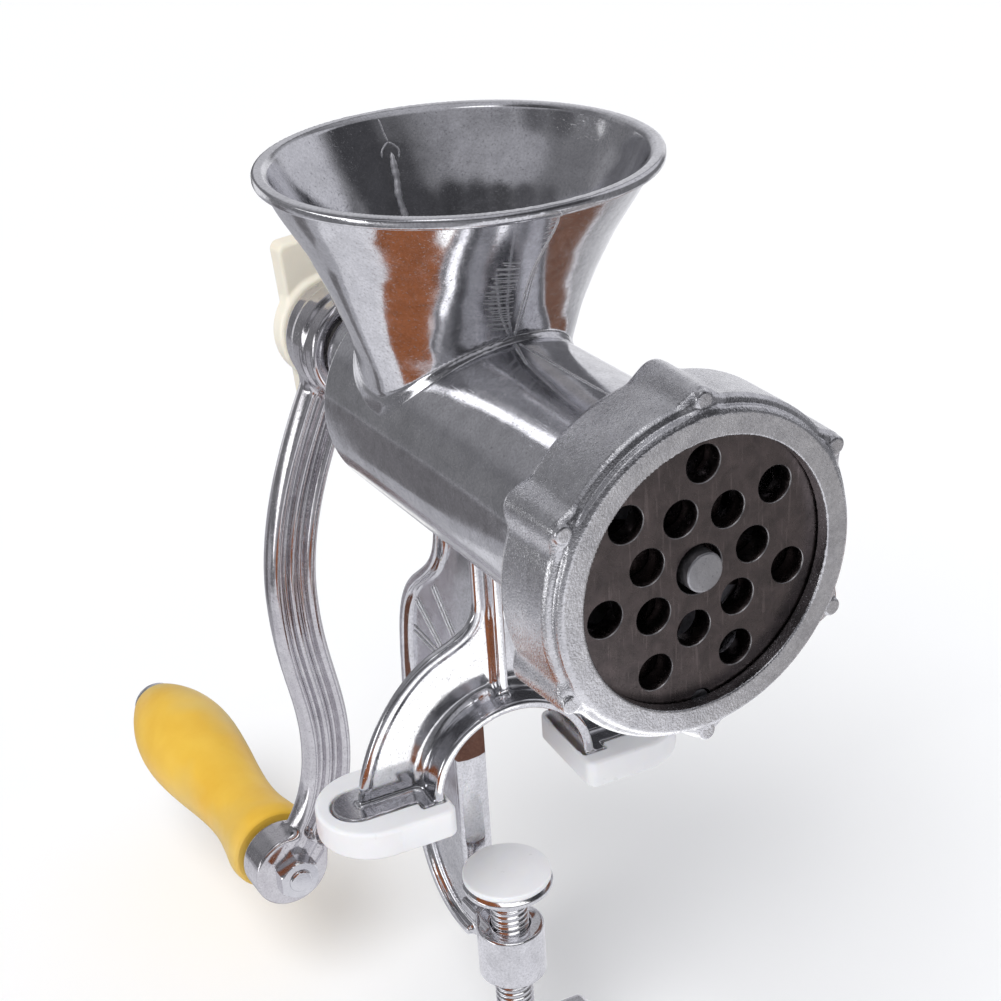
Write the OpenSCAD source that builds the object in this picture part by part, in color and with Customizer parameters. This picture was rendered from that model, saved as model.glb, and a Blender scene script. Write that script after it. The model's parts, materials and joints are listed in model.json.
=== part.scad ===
// Table-clamp hand grinder: a cast housing with a feed hopper, a worm turned
// by a rear crank, a cutter behind a perforated plate, and a screw clamp.
// Units are millimetres. The table top is z = 0, the table's rear edge is
// y = 0, the outlet faces -Y, the crank is at +Y and the hopper opens to +Z.

/* [Barrel] */
// Height of the barrel axis above the table top
axis_h = 117; // [112:0.5:122]
// Outer radius of the barrel
barrel_r = 30.5; // [30:0.25:31.5]
// Inner radius of the barrel, around the worm
bore_r = 27; // [26.75:0.25:27.5]
// Position of the barrel's rear face
barrel_back = 14; // [13:0.5:15]
// Outer radius of the rear bearing sleeve
sleeve_r = 14; // [13.5:0.5:16]
// Radius of the worm's rear shaft
shaft_r = 9.5; // [9.25:0.05:9.6]

/* [Hopper] */
// Outer radius of the hopper's rim bead
rim_r = 51.8; // [51:0.2:54]
// Height of the rim above the table top
rim_z = 190.6; // [188:0.2:194]
// Position of the hopper's axis along the barrel
hopper_y = -17; // [-18:0.5:-16]
// Wall thickness of the hopper
hopper_wall = 2.2; // [1.8:0.1:2.8]

/* [Outlet] */
// Position of the ring nut's front face
front_y = -122; // [-123:0.5:-121]
// Outer radius of the ring nut's skirt
ring_r = 42; // [41.5:0.25:43]
// Radius of the ring nut's front opening
lip_r = 33.4; // [32:0.2:34]
// Radius of the perforated plate
plate_r = 35; // [34.5:0.1:35]
// Thickness of the perforated plate
plate_t = 6; // [5.5:0.1:6]
// Radius of each hole in the perforated plate
hole_r = 4.55; // [3:0.05:4.75]
// Number of holes in the outer circle of the plate
holes_outer = 7; // [5:1:9]
// Number of holes in the inner circle of the plate
holes_inner = 7; // [4:1:7]

/* [Worm] */
// Outer radius of the worm's flight
worm_r = 26.4; // [25:0.1:26.4]
// Lead of the worm's flight
worm_lead = 30; // [24:1:40]

/* [Crank] */
// Sideways position of the grip's axis
grip_x = -40; // [-44:1:-36]
// Height of the grip's axis, measured from the table top
grip_z = -63; // [-68:1:-58]
// Width of the crank arm
arm_w = 16; // [15:0.5:18]
// Largest radius of the grip
grip_r = 17.6; // [16:0.2:19]
// Length of the grip
grip_len = 110; // [95:1:115]

/* [Clamp] */
// Throat of the clamp, from the table top down to the screw boss
throat = 52; // [48:1:60]
// Gap between the foot pads and the clamp pad as stored
table_t = 32; // [20:1:40]
// Radius of the clamp screw
screw_r = 6; // [5.5:0.1:6.5]
// Radius of the clamp pad
pad_r = 14; // [11:0.5:14.5]

/* [Feet] */
// Height of the foot pads
foot_h = 9; // [8:0.5:10]
// Radius of the arch between the legs, on its underside
arch_r = 22.8; // [22:0.1:23.4]
// Angle by which the legs stand askew to the barrel, seen from above
leg_skew = -4.5; // [-6:0.5:0]

/* [Hidden] */
$fn = 96;
seg = 48;

lip_t = 3.8;                        // thickness of the ring nut's lip
plate_y = front_y + lip_t + 0.3;    // front face of the plate
plate_back = plate_y + plate_t;
mouth_y = plate_y + 0.4;            // front end of the barrel
collar_r = ring_r - 4.15;           // crest of the barrel's outlet thread
collar_back = front_y + 23;
seat_y = plate_y + plate_t + 0.2;   // shoulder that backs the plate
cut_y = plate_back + 0.3;           // front face of the cutter
cut_t = 7;
worm_y = cut_y + cut_t;             // front end of the worm
chamber_back = worm_y + 0.8;
wall_y = barrel_back - 4;           // inner face of the rear wall
sleeve_back = barrel_back + 32;
hub_y = sleeve_back + 2;
hub_back = hub_y + 20;
arm_y = hub_y + 10;
arm_back = hub_y + 19;
boss_back = hub_y + 22;
grip_y = boss_back + 2;
bend_z = -20;
stud_z = axis_h;
key_r = plate_r;
foot_cx = 40.5;
foot_cy = -17.5;
base_z = foot_h - 3;                // underside of the metal feet
arch_z = 8.3;                       // centre height of the arch
arch_t = 2.9;
arch_y = -28.6;                     // front edge of the arch's flange
web_y0 = -19;
web_y1 = -16.3;
boss_z = -throat;
boss_h = 18;
front_top = 29.5;                   // top of the flange that meets the table
pad_top = -table_t;
pad_y = -17;

function bz(a, b, c, d, t) = a * pow(1 - t, 3) + 3 * b * t * pow(1 - t, 2)
    + 3 * c * t * t * (1 - t) + d * pow(t, 3);
function curve(a, b, c, d, n) = [for (i = [0 : n]) bz(a, b, c, d, i / n)];
function tail(p) = [for (i = [1 : len(p) - 1]) p[i]];
function rev(p) = [for (i = [len(p) - 1 : -1 : 0]) p[i]];
function unit_n(p, i) = let (d = p[min(i + 1, len(p) - 1)] - p[max(i - 1, 0)])
    [-d[1], d[0]] / norm(d);
function shifted(p, d) = [for (i = [0 : len(p) - 1]) p[i] + d * unit_n(p, i)];
function flip_x(p) = [for (q = p) [-q[0], q[1]]];

module band(p, a, b) polygon(concat(shifted(p, a), rev(shifted(p, b))));
module cy(r, y0, y1, x = 0, z = axis_h)
    translate([x, y0, z]) rotate([-90, 0, 0]) cylinder(r = r, h = y1 - y0);
module cz(r, z0, z1, x = 0, y = 0)
    translate([x, y, z0]) cylinder(r = r, h = z1 - z0);
module turned_y(x = 0, z = axis_h)
    translate([x, 0, z]) rotate([-90, 0, 0]) rotate_extrude() children();
module xz(y0, y1)
    translate([0, y1, 0]) rotate([90, 0, 0]) linear_extrude(y1 - y0) children();
module yz(x0, x1)
    translate([x0, 0, 0]) rotate([90, 0, 90]) linear_extrude(x1 - x0) children();
module sq_y(w, y0, y1)
    translate([-w / 2, y0, axis_h - w / 2]) cube([w, y1 - y0, w]);

// ---- hopper: a loft of closed curves, elliptical in front and squarer behind
// each entry: drop below the rim, side, front and rear half widths, exponent
h_levels = [
    [0, 50.6, 50.6, 50.6, 2], [8.4, 47.4, 44.7, 45.6, 2],
    [20.4, 40.6, 36.0, 38.8, 2], [31.7, 36.1, 28.5, 33.5, 2],
    [42.6, 32.0, 22.9, 30.2, 2.1], [52.6, 28.6, 21.0, 28.6, 2.5],
    [60.6, 27.5, 17.4, 27.6, 2.8], [68, 27.0, 15.0, 27, 3.1]];
function spow(v, e) = (v < 0 ? -1 : 1) * pow(abs(v), e);
function h_ring(z, ax, af, ar, n, o) = [for (i = [0 : seg - 1])
    let (t = 360 * i / seg, c = cos(t), s = sin(t),
         e = s > 0 ? 2 / n : 1, b = s > 0 ? ar : af)
    [(ax - o) * spow(c, e), hopper_y + (b - o) * spow(s, e), z]];
module loft(rings) {
    m = len(rings);
    n = len(rings[0]);
    pts = [for (r = rings) for (p = r) p];
    side = [for (k = [0 : m - 2]) for (i = [0 : n - 1])
        let (a = k * n + i, b = k * n + (i + 1) % n,
             c = (k + 1) * n + (i + 1) % n, d = (k + 1) * n + i)
        each [[a, c, d], [a, b, c]]];
    polyhedron(pts, concat(side, [[for (i = [n - 1 : -1 : 0]) i]],
        [[for (i = [0 : n - 1]) (m - 1) * n + i]]), convexity = 6);
}
module h_shape(o, top) loft(concat(
    top > 0 ? [h_ring(rim_z + top, 50.6, 50.6, 50.6, 2, o)] : [],
    [for (l = h_levels) h_ring(rim_z - l[0], l[1], l[2], l[3], l[4], o)]));

module feed_space() {
    intersection() {
        h_shape(hopper_wall, 2);
        translate([-60, -80, axis_h + 5]) cube([120, 160, 90]);
    }
}
module rear_limit()
    translate([-60, barrel_back, axis_h - 60]) cube([120, 6, 110]);

module barrel() {
    color("silver") difference() {
        union() {
            cy(barrel_r, collar_back, barrel_back);
            turned_y() polygon([[0, mouth_y], [collar_r - 0.8, mouth_y],
                [collar_r, mouth_y + 0.8], [collar_r, collar_back],
                [barrel_r + 3.4, collar_back + 3], [barrel_r + 1, collar_back + 7],
                [barrel_r, collar_back + 12], [0, collar_back + 12]]);
            cy(sleeve_r, barrel_back - 1, sleeve_back);
        }
        cy(bore_r, chamber_back - 0.1, wall_y);
        cy(33.2, seat_y - 0.1, chamber_back);
        cy(plate_r + 0.3, mouth_y - 1, seat_y);
        cy(shaft_r + 2, wall_y - 1, sleeve_back + 1);
        cy(2.6, mouth_y - 1, seat_y + 7, 0, axis_h - key_r);
        feed_space();
    }
}

module hopper() {
    color("gainsboro") difference() {
        union() {
            h_shape(0, 0);
            translate([0, hopper_y, 0]) rotate_extrude() polygon([
                [49.2, rim_z - 3], [rim_r - 0.9, rim_z - 3],
                [rim_r, rim_z - 2.2], [rim_r, rim_z - 0.8],
                [rim_r - 0.8, rim_z], [49.2, rim_z]]);
        }
        h_shape(hopper_wall, 2);
        cy(barrel_r, -90, 60);
        translate([-60, -100, axis_h - 30]) cube([120, 160, 38]);
    }
}

leg_edge = concat([[5, axis_h]], curve([5, 64], [5, 54], [12, 53.5], [20, 49.5], 8),
    tail(curve([20, 49.5], [31.5, 43.5], [42.5, 27], [44.6, foot_h], 12)));
module skewed() translate([0, pad_y, 0]) rotate([0, 0, leg_skew])
    translate([0, -pad_y, 0]) children();
module leg_arch() {
    color("gainsboro") difference() {
        skewed() union() {
            difference() {
                xz(web_y0, web_y1) polygon(concat(leg_edge, [[44.6, base_z]],
                    [[-44.6, base_z]], rev(flip_x(leg_edge))));
                cy(arch_r + 0.5, -60, 20, 0, arch_z);
            }
            difference() {
                cy(arch_r + arch_t, arch_y, -4, 0, arch_z);
                cy(arch_r, -60, 20, 0, arch_z);
                translate([-40, -60, -60]) cube([80, 80, 60 + base_z]);
            }
            xz(web_y0 - 5, web_y0 + 1) translate([-1.6, arch_z + arch_r + 1])
                square([3.2, 60]);
            for (s = [-1, 1]) scale([s, 1, 1]) translate([0, 0, base_z])
                linear_extrude(3) difference() {
                    union() {
                        translate([45, foot_cy]) circle(r = 7.5);
                        translate([22.4, foot_cy - 7.5]) square([22.6, 15]);
                        translate([22.4, arch_y]) square([7, -4 - arch_y]);
                    }
                }
        }
        cy(barrel_r, -90, 60);
        skewed() cy(arch_r, -60, 20, 0, arch_z);
    }
}

c_back = concat([[3, axis_h - 26]], curve([4.5, 80], [5.5, 68], [9, 64.5], [19, 56.5], 6),
    tail(curve([19, 56.5], [32, 46.5], [33.5, 34], [34.5, 18], 8)),
    curve([36, 0], [37.5, -30], [37, -boss_h - throat], [4, 1 - boss_h - throat], 14));
c_front = concat([[0, front_top]], [[0, 6 - throat]],
    tail(curve([0, 6 - throat], [-0.3, 1.5 - throat], [-2, -throat], [-6, -throat], 6)));
module clamp_frame() {
    color("gainsboro") difference() {
        union() {
            yz(-2.5, 2.5) polygon(concat([[web_y1 - 1, axis_h - 26]], c_back,
                [[pad_y, 1 - boss_h - throat], [pad_y, -throat]], rev(c_front),
                [[-4, 34.8], [web_y1 - 1, 34.8]]));
            yz(-5, 5) band(c_back, 0, -3.2);
            yz(-5, 5) polygon([[0, front_top], [0, 6 - throat], [3.2, 6 - throat],
                [3.2, front_top]]);
            yz(-7, 7) polygon([[pad_y, -throat], [-3, -throat], [0, 3 - throat],
                [2, 3 - throat], [2, -4 - throat], [pad_y, -4 - throat]]);
            cz(10.5, boss_z - boss_h, boss_z, 0, pad_y);
        }
        cy(barrel_r, -90, 60);
        cz(screw_r + 0.1, boss_z - boss_h - 1, boss_z + 1, 0, pad_y);
        skewed() cy(arch_r + arch_t, -60, -4, 0, arch_z);
        skewed() xz(web_y0 - 6, web_y1) translate([-12, arch_z + arch_r + 1])
            square([24, 80]);
    }
}

module foot_pad(s) {
    color("white") skewed() scale([s, 1, 1]) difference() {
        linear_extrude(foot_h) union() {
            translate([foot_cx, foot_cy]) circle(r = 16.5);
            translate([24, foot_cy - 16.5]) square([foot_cx - 24, 33]);
            translate([21, foot_cy - 13.5]) square([4, 27]);
            for (k = [-13.5, 13.5]) translate([24, foot_cy + k]) circle(r = 3);
        }
        translate([0, 0, base_z]) linear_extrude(4) union() {
            translate([45, foot_cy]) circle(r = 8);
            translate([22.1, foot_cy - 8]) square([22.9, 16]);
            translate([22.1, arch_y - 0.3]) square([7.6, -3.4 - arch_y]);
        }
    }
}
module left_foot_pad() { foot_pad(-1); }
module right_foot_pad() { foot_pad(1); }

module plate_key() {
    color("dimgray") cy(2.6, plate_y + 0.6, seat_y + 7, 0, axis_h - key_r);
}

module rear_bush() {
    color("ivory") difference() {
        union() {
            cy(16, wall_y - 2, wall_y);
            cy(shaft_r + 2, wall_y - 0.5, sleeve_back);
        }
        cy(shaft_r + 0.05, wall_y - 4, sleeve_back + 1);
    }
}

function w_ring(y, a, lim) = [for (q = w_outline) let (r = min(q[0], lim))
    [r * cos(q[1] + a), y, axis_h + r * sin(q[1] + a)]];
// outline of the worm across its axis: [radius, angle]
w_outline = concat([for (i = [0 : 4]) [worm_r, -26 + 13 * i]], [[18, 34]],
    [for (i = [0 : 8]) [12, 42 + 34.5 * i]], [[18, -34]]);
module worm() {
    y0 = worm_y + 6;
    y1 = wall_y - 12;
    n = ceil((y1 - y0) / worm_lead * 22);
    color("lightgray") {
        difference() {
            cy(13, worm_y, y0 + 0.7);
            cy(5, worm_y - 1, y0 - 0.5);
        }
        loft([for (i = [0 : n]) let (y = y0 + (y1 - y0) * i / n)
            w_ring(y, -360 * (y - y0) / worm_lead, 12.5 + 5 * min(i, n - i))]);
        difference() {
            union() {
                cy(13.4, y1 - 0.7, wall_y - 3.8);
                cy(shaft_r, wall_y - 3.8, sleeve_back + 0.5);
                sq_y(13, sleeve_back + 0.4, hub_back - 2);
            }
            cy(4.1, hub_y + 2, hub_back);
        }
    }
}

module drive_stud() {
    color("dimgray") {
        cy(4.95, plate_y - 2.3, cut_y);
        sq_y(10.9, cut_y, worm_y);
        cy(5, worm_y, worm_y + 5.4);
    }
}

module cutter() {
    color("slategray") difference() {
        union() {
            cy(11.5, cut_y + 1, worm_y);
            for (a = [0 : 90 : 270])
                translate([0, 0, axis_h]) rotate([0, a + 20, 0]) {
                    translate([0, worm_y, 0]) rotate([90, 0, 0])
                        linear_extrude(cut_t) polygon([[-6, 0], [-6, 10],
                            [-3, 31], [4.5, 31], [6, 18], [6.5, 0]]);
                }
        }
        sq_y(11, cut_y - 1, worm_y + 1);
    }
}

module thrust_washer() {
    color("ivory") difference() {
        cy(15, wall_y - 3.8, wall_y - 2.3);
        cy(shaft_r + 0.05, wall_y - 5, wall_y);
    }
}

arm_line = concat(
    curve([-1, axis_h - 2], [-12, 94], [-27, 66], [-27, 36], 14),
    tail(curve([-27, 36], [-27, 10], [-21, 0], [-21.4, bend_z], 10)),
    tail(curve([-21.4, bend_z], [-21.8, -36], [-26, -50], [grip_x, grip_z], 8)));
module crank_arm() {
    w = arm_w / 2;
    color("lightgray") difference() {
        union() {
            turned_y() polygon([[0, hub_y], [16.2, hub_y], [17, hub_y + 0.8],
                [18, hub_y + 8], [18, hub_y + 12], [17.4, hub_back - 3],
                [16.2, hub_back], [0, hub_back]]);
            xz(arm_y + 3.2, arm_y + 6.8) band(arm_line, w - 0.5, 0.5 - w);
            xz(arm_y, arm_back) band(arm_line, w, w - 3);
            xz(arm_y, arm_back) band(arm_line, 3 - w, -w);
            xz(arm_y + 1.8, arm_back - 1.2) band(arm_line, 1.2, -1.2);
            cy(13, arm_y, boss_back, grip_x, grip_z);
        }
        sq_y(13.1, hub_y - 1, hub_back + 1);
        cy(4.05, arm_y - 1, boss_back + 1, grip_x, grip_z);
    }
}

module grip_bolt() {
    e = grip_y + grip_len;
    color("silver") {
        cy(4, arm_y - 7, e, grip_x, grip_z);
        turned_y(grip_x, grip_z) polygon([[0, e], [8.6, e], [8.6, e + 1],
            [7.9, e + 2.6], [6, e + 4.2], [3.2, e + 5.2], [0, e + 5.5]]);
    }
}
module grip_washer() {
    color("silver") difference() {
        cy(11, boss_back, boss_back + 1.6, grip_x, grip_z);
        cy(4.05, boss_back - 1, boss_back + 3, grip_x, grip_z);
    }
}
module grip_nut() {
    color("silver") difference() {
        translate([grip_x, arm_y - 6, grip_z]) rotate([-90, 0, 0])
            cylinder(r = 7.5, h = 6, $fn = 6);
        cy(4.02, arm_y - 7, arm_y + 1, grip_x, grip_z);
    }
}
function g(t, r) = [r * grip_r / 17.6, grip_y + t * (grip_len - 0.3)];
module grip() {
    color("goldenrod") difference() {
        turned_y(grip_x, grip_z) polygon([[0, grip_y], g(0, 13.8), g(0.015, 14.8),
            g(0.05, 15.1), g(0.1, 14.2), g(0.16, 13.2), g(0.22, 12.7),
            g(0.3, 12.9), g(0.4, 14.1), g(0.5, 15.7), g(0.6, 17), g(0.68, 17.6),
            g(0.76, 17.2), g(0.84, 15.7), g(0.91, 13.4), g(0.96, 11.2),
            g(1, 9), [0, grip_y + grip_len - 0.3]]);
        cy(4.08, grip_y - 1, grip_y + grip_len + 1, grip_x, grip_z);
    }
}

module knob_washer() {
    color("silver") difference() {
        cy(11, hub_back + 0.3, hub_back + 1.8);
        cy(4.3, hub_back - 1, hub_back + 3);
    }
}
module thumb_knob() {
    y0 = hub_back + 2.1;
    color("cornsilk") difference() {
        union() {
            turned_y() polygon([[0, y0], [16.6, y0], [17.3, y0 + 0.8],
                [17.3, y0 + 5], [15.8, y0 + 7], [0, y0 + 7]]);
            translate([0, 0, axis_h]) rotate([0, 4, 0]) xz(y0 + 1.5, y0 + 9)
                polygon([[-12.6, -26], [-10.6, -29.5], [10.6, -29.5], [12.6, -26],
                    [12.6, 26], [10.6, 29.5], [-10.6, 29.5], [-12.6, 26]]);
        }
        cy(4, y0 - 1, y0 + 6);
    }
}
module knob_stud() {
    color("silver") cy(4, hub_y + 4, hub_back + 8.1);
}

module perforated_plate() {
    color("slategray") difference() {
        cy(plate_r, plate_y, plate_back);
        cy(6.2, plate_y - 1, plate_back + 1);
        for (i = [0 : holes_outer - 1]) let (a = 87 + 360 * i / holes_outer)
            cy(hole_r, plate_y - 1, plate_back + 1, 25.95 * cos(a),
                axis_h + 25.95 * sin(a));
        for (i = [0 : holes_inner - 1]) let (a = 109.2 + 360 * i / holes_inner)
            cy(hole_r, plate_y - 1, plate_back + 1, 14.97 * cos(a),
                axis_h + 14.97 * sin(a));
        cy(3.1, plate_y - 1, plate_back + 1, 0, axis_h - key_r);
    }
}

module ring_nut() {
    f = front_y;
    color("silver") difference() {
        union() {
            turned_y() polygon([[0, f], [ring_r - 3.2, f], [ring_r - 2, f + 1],
                [ring_r - 2, f + 2.4], [ring_r - 0.6, f + 3], [ring_r, f + 4],
                [ring_r + 0.3, f + 20], [ring_r - 0.6, f + 22], [0, f + 22]]);
            for (i = [0 : 5]) let (a = 90 + 60 * i, c = cos(a), s = sin(a)) {
                cy(4.1, f + 9, f + 22, 41.4 * c, axis_h + 41.4 * s);
                cy(3.4, f + 3.2, f + 9, 41.3 * c, axis_h + 41.3 * s);
                cy(2.4, f + 1.4, f + 4, 42.3 * c, axis_h + 42.3 * s);
            }
        }
        cy(ring_r - 3.85, f + lip_t, f + 23);
        cy(lip_r, f - 1, f + 5);
    }
}

module clamp_pad() {
    color("lightgray") difference() {
        translate([0, pad_y, 0]) rotate_extrude() polygon([[0, pad_top - 2],
            [pad_r - 1.2, pad_top - 2], [pad_r, pad_top - 3.2],
            [pad_r, pad_top - 4.4], [9.5, pad_top - 6.4], [9, pad_top - 9],
            [0, pad_top - 9]]);
        cz(6.3, pad_top - 6.4, pad_top - 3.5, 0, pad_y);
        cz(4.4, pad_top - 10, pad_top - 6, 0, pad_y);
    }
}
module clamp_pad_cap() {
    color("white") cz(pad_r - 0.4, pad_top - 2, pad_top, 0, pad_y);
}
module clamp_screw() {
    color("silver") difference() {
        union() {
            cz(6, pad_top - 6.1, pad_top - 3.8, 0, pad_y);
            cz(4.1, pad_top - 9.5, pad_top - 6.0, 0, pad_y);
            cz(screw_r, -110, pad_top - 9.4, 0, pad_y);
        }
        translate([0, pad_y - 15, -106]) rotate([-90, 0, 0])
            cylinder(r = 1.5, h = 30);
    }
}
module clamp_wing() {
    color("lightgray") translate([0, pad_y, 0]) difference() {
        union() {
            translate([0, 0, -117]) cylinder(r = 9.5, h = 20);
            xz(-3, 3) polygon([[-9, -98], [-17, -94], [-25, -94.5], [-28, -99],
                [-27, -106], [-19, -113], [-8, -117], [8, -117], [19, -113],
                [27, -106], [28, -99], [25, -94.5], [17, -94], [9, -98]]);
        }
        translate([0, 0, -110]) cylinder(r = screw_r + 0.02, h = 30);
        translate([0, -15, -106]) rotate([-90, 0, 0]) cylinder(r = 1.5, h = 30);
    }
}
module wing_pin() {
    color("gray") translate([0, pad_y - 9.3, -106]) rotate([-90, 0, 0])
        cylinder(r = 1.5, h = 18.6);
}

barrel();
hopper();
leg_arch();
clamp_frame();
left_foot_pad();
right_foot_pad();
plate_key();
rear_bush();
worm();
drive_stud();
cutter();
thrust_washer();
crank_arm();
grip_bolt();
grip_washer();
grip_nut();
grip();
knob_washer();
thumb_knob();
knob_stud();
perforated_plate();
ring_nut();
clamp_pad();
clamp_pad_cap();
clamp_screw();
clamp_wing();
wing_pin();
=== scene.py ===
import bpy
import json
import math
import time
import numpy as np
from mathutils import Matrix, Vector
from mathutils.geometry import delaunay_2d_cdt

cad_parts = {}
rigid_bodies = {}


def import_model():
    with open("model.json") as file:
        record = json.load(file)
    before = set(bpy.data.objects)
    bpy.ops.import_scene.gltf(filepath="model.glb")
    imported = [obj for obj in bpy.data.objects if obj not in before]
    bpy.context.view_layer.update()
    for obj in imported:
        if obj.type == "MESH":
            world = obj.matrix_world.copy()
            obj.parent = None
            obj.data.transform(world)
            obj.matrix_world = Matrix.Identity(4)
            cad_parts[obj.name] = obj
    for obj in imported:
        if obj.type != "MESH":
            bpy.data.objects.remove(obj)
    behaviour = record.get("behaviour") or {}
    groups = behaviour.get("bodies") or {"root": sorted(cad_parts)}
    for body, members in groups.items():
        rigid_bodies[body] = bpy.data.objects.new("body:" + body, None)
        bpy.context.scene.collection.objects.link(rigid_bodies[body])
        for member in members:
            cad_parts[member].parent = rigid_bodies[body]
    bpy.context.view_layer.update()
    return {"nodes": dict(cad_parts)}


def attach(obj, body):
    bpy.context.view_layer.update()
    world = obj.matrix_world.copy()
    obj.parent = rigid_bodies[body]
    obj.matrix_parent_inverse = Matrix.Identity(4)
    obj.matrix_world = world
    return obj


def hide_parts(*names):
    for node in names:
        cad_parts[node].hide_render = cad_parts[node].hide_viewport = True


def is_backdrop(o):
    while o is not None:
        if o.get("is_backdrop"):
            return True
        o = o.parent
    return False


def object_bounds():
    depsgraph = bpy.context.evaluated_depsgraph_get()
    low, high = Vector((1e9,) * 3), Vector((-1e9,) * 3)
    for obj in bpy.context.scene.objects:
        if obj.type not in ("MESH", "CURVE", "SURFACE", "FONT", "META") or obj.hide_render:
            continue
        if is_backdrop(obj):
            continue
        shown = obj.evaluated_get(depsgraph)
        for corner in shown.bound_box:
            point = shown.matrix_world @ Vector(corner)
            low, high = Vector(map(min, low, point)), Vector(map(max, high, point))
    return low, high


T0 = time.time()
for o in list(bpy.data.objects):
    bpy.data.objects.remove(o)
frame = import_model()

# Shapes are worked out in millimetres in the row frame and scaled at the end.
AX = 117.0      # height of the barrel axis
HY = -17.0      # hopper axis
FRONT = -122.0  # front face of the ring nut
GX, GZ = -40.0, -63.0


def say(*a):
    print("[scene %5.1fs]" % (time.time() - T0), *a)


# --------------------------------------------------------------- fields
def smin(a, b, k):
    return np.maximum(k, np.minimum(a, b)) - np.hypot(
        np.maximum(k - a, 0), np.maximum(k - b, 0))


def smax(a, b, k):
    return -smin(-a, -b, k)


def pmin(a, b, k):
    h = np.maximum(k - np.abs(a - b), 0) / k
    return np.minimum(a, b) - h * h * k * 0.25


def box2(u, v, hu, hv, rd):
    a = np.abs(u) - hu + rd
    b = np.abs(v) - hv + rd
    return np.minimum(np.maximum(a, b), 0) + np.hypot(
        np.maximum(a, 0), np.maximum(b, 0)) - rd


def tube(r, y, rad, y0, y1, rd):
    """Solid round bar of radius rad between y0 and y1 with rounded ends."""
    a = r - rad + rd
    b = np.abs(y - (y0 + y1) / 2) - (y1 - y0) / 2 + rd
    return np.minimum(np.maximum(a, b), 0) + np.hypot(
        np.maximum(a, 0), np.maximum(b, 0)) - rd


def seg2(u, v, a, b):
    ex, ey = b[0] - a[0], b[1] - a[1]
    wx, wy = u - a[0], v - a[1]
    t = np.clip((wx * ex + wy * ey) / (ex * ex + ey * ey), 0, 1)
    return np.hypot(wx - ex * t, wy - ey * t)


def line2(u, v, pts):
    """Unsigned distance to an open polyline."""
    d = np.full(u.shape, 1e18)
    for a, b in zip(pts[:-1], pts[1:]):
        ex, ey = b[0] - a[0], b[1] - a[1]
        wx, wy = u - a[0], v - a[1]
        t = np.clip((wx * ex + wy * ey) / (ex * ex + ey * ey + 1e-12), 0, 1)
        wx = wx - ex * t
        wy = wy - ey * t
        np.minimum(d, wx * wx + wy * wy, out=d)
    return np.sqrt(d)


def poly2(u, v, pts):
    """Signed distance to a closed polygon."""
    s = np.ones(u.shape)
    n = len(pts)
    for i in range(n):
        a, b = pts[i], pts[i - 1]
        c0 = v >= a[1]
        c1 = v < b[1]
        c2 = (b[0] - a[0]) * (v - a[1]) > (b[1] - a[1]) * (u - a[0])
        s = np.where((c0 & c1 & c2) | (~c0 & ~c1 & ~c2), -s, s)
    return s * line2(u, v, list(pts) + [pts[0]])


class Tab:
    """A smooth table of a 2-D field, read back with cubic interpolation."""

    def __init__(self, fn, lo, hi, step, blur=0.0):
        self.lo = np.array(lo, float)
        self.step = step
        n = [int(math.ceil((hi[k] - lo[k]) / step)) + 1 for k in range(2)]
        u = self.lo[0] + step * np.arange(n[0])
        v = self.lo[1] + step * np.arange(n[1])
        g = fn(*np.meshgrid(u, v, indexing="ij"))
        if blur:
            m = int(math.ceil(3 * blur / step))
            k = np.exp(-0.5 * (np.arange(-m, m + 1) * step / blur) ** 2)
            k /= k.sum()
            for ax in (0, 1):
                pad = [(m, m) if a == ax else (0, 0) for a in (0, 1)]
                q = np.pad(g, pad, mode="edge")
                g = sum(k[i] * np.take(q, range(i, i + g.shape[ax]), axis=ax)
                        for i in range(2 * m + 1))
        self.g = g
        self.n = n

    def __call__(self, u, v):
        out = 0
        fu = (u - self.lo[0]) / self.step
        fv = (v - self.lo[1]) / self.step
        fu = np.clip(fu, 1, self.n[0] - 2.001)
        fv = np.clip(fv, 1, self.n[1] - 2.001)
        iu = fu.astype(np.int64)
        iv = fv.astype(np.int64)
        wu = self.w(fu - iu)
        wv = self.w(fv - iv)
        flat = self.g.ravel()
        for a in range(4):
            row = 0
            base = (iu + a - 1) * self.n[1] + iv - 1
            for b in range(4):
                row = row + wv[b] * flat[base + b]
            out = out + wu[a] * row
        return out

    @staticmethod
    def w(t):
        t2 = t * t
        t3 = t2 * t
        return (-0.5 * t3 + t2 - 0.5 * t, 1.5 * t3 - 2.5 * t2 + 1,
                -1.5 * t3 + 2 * t2 + 0.5 * t, 0.5 * t3 - 0.5 * t2)


def boxed(P, lo, hi, fn, room=6.0):
    """fn inside a box, and the distance to the box outside it."""
    d = np.zeros(len(P))
    for k in range(3):
        e = np.maximum(np.maximum(lo[k] - P[:, k], P[:, k] - hi[k]), 0)
        d += e * e
    d = np.sqrt(d)
    near = d < room
    out = d + 0.5
    if near.any():
        out[near] = fn(P[near])
    return out


def bez(a, b, c, d, n):
    t = np.linspace(0, 1, n + 1)[:, None]
    a, b, c, d = (np.array(q, float)[None] for q in (a, b, c, d))
    return a * (1 - t) ** 3 + 3 * b * t * (1 - t) ** 2 \
        + 3 * c * t * t * (1 - t) + d * t ** 3


def shifted(p, d):
    p = np.asarray(p, float)
    e = np.gradient(p, axis=0)
    n = np.stack([-e[:, 1], e[:, 0]], 1)
    return p + d * n / np.linalg.norm(n, axis=1)[:, None]


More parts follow.
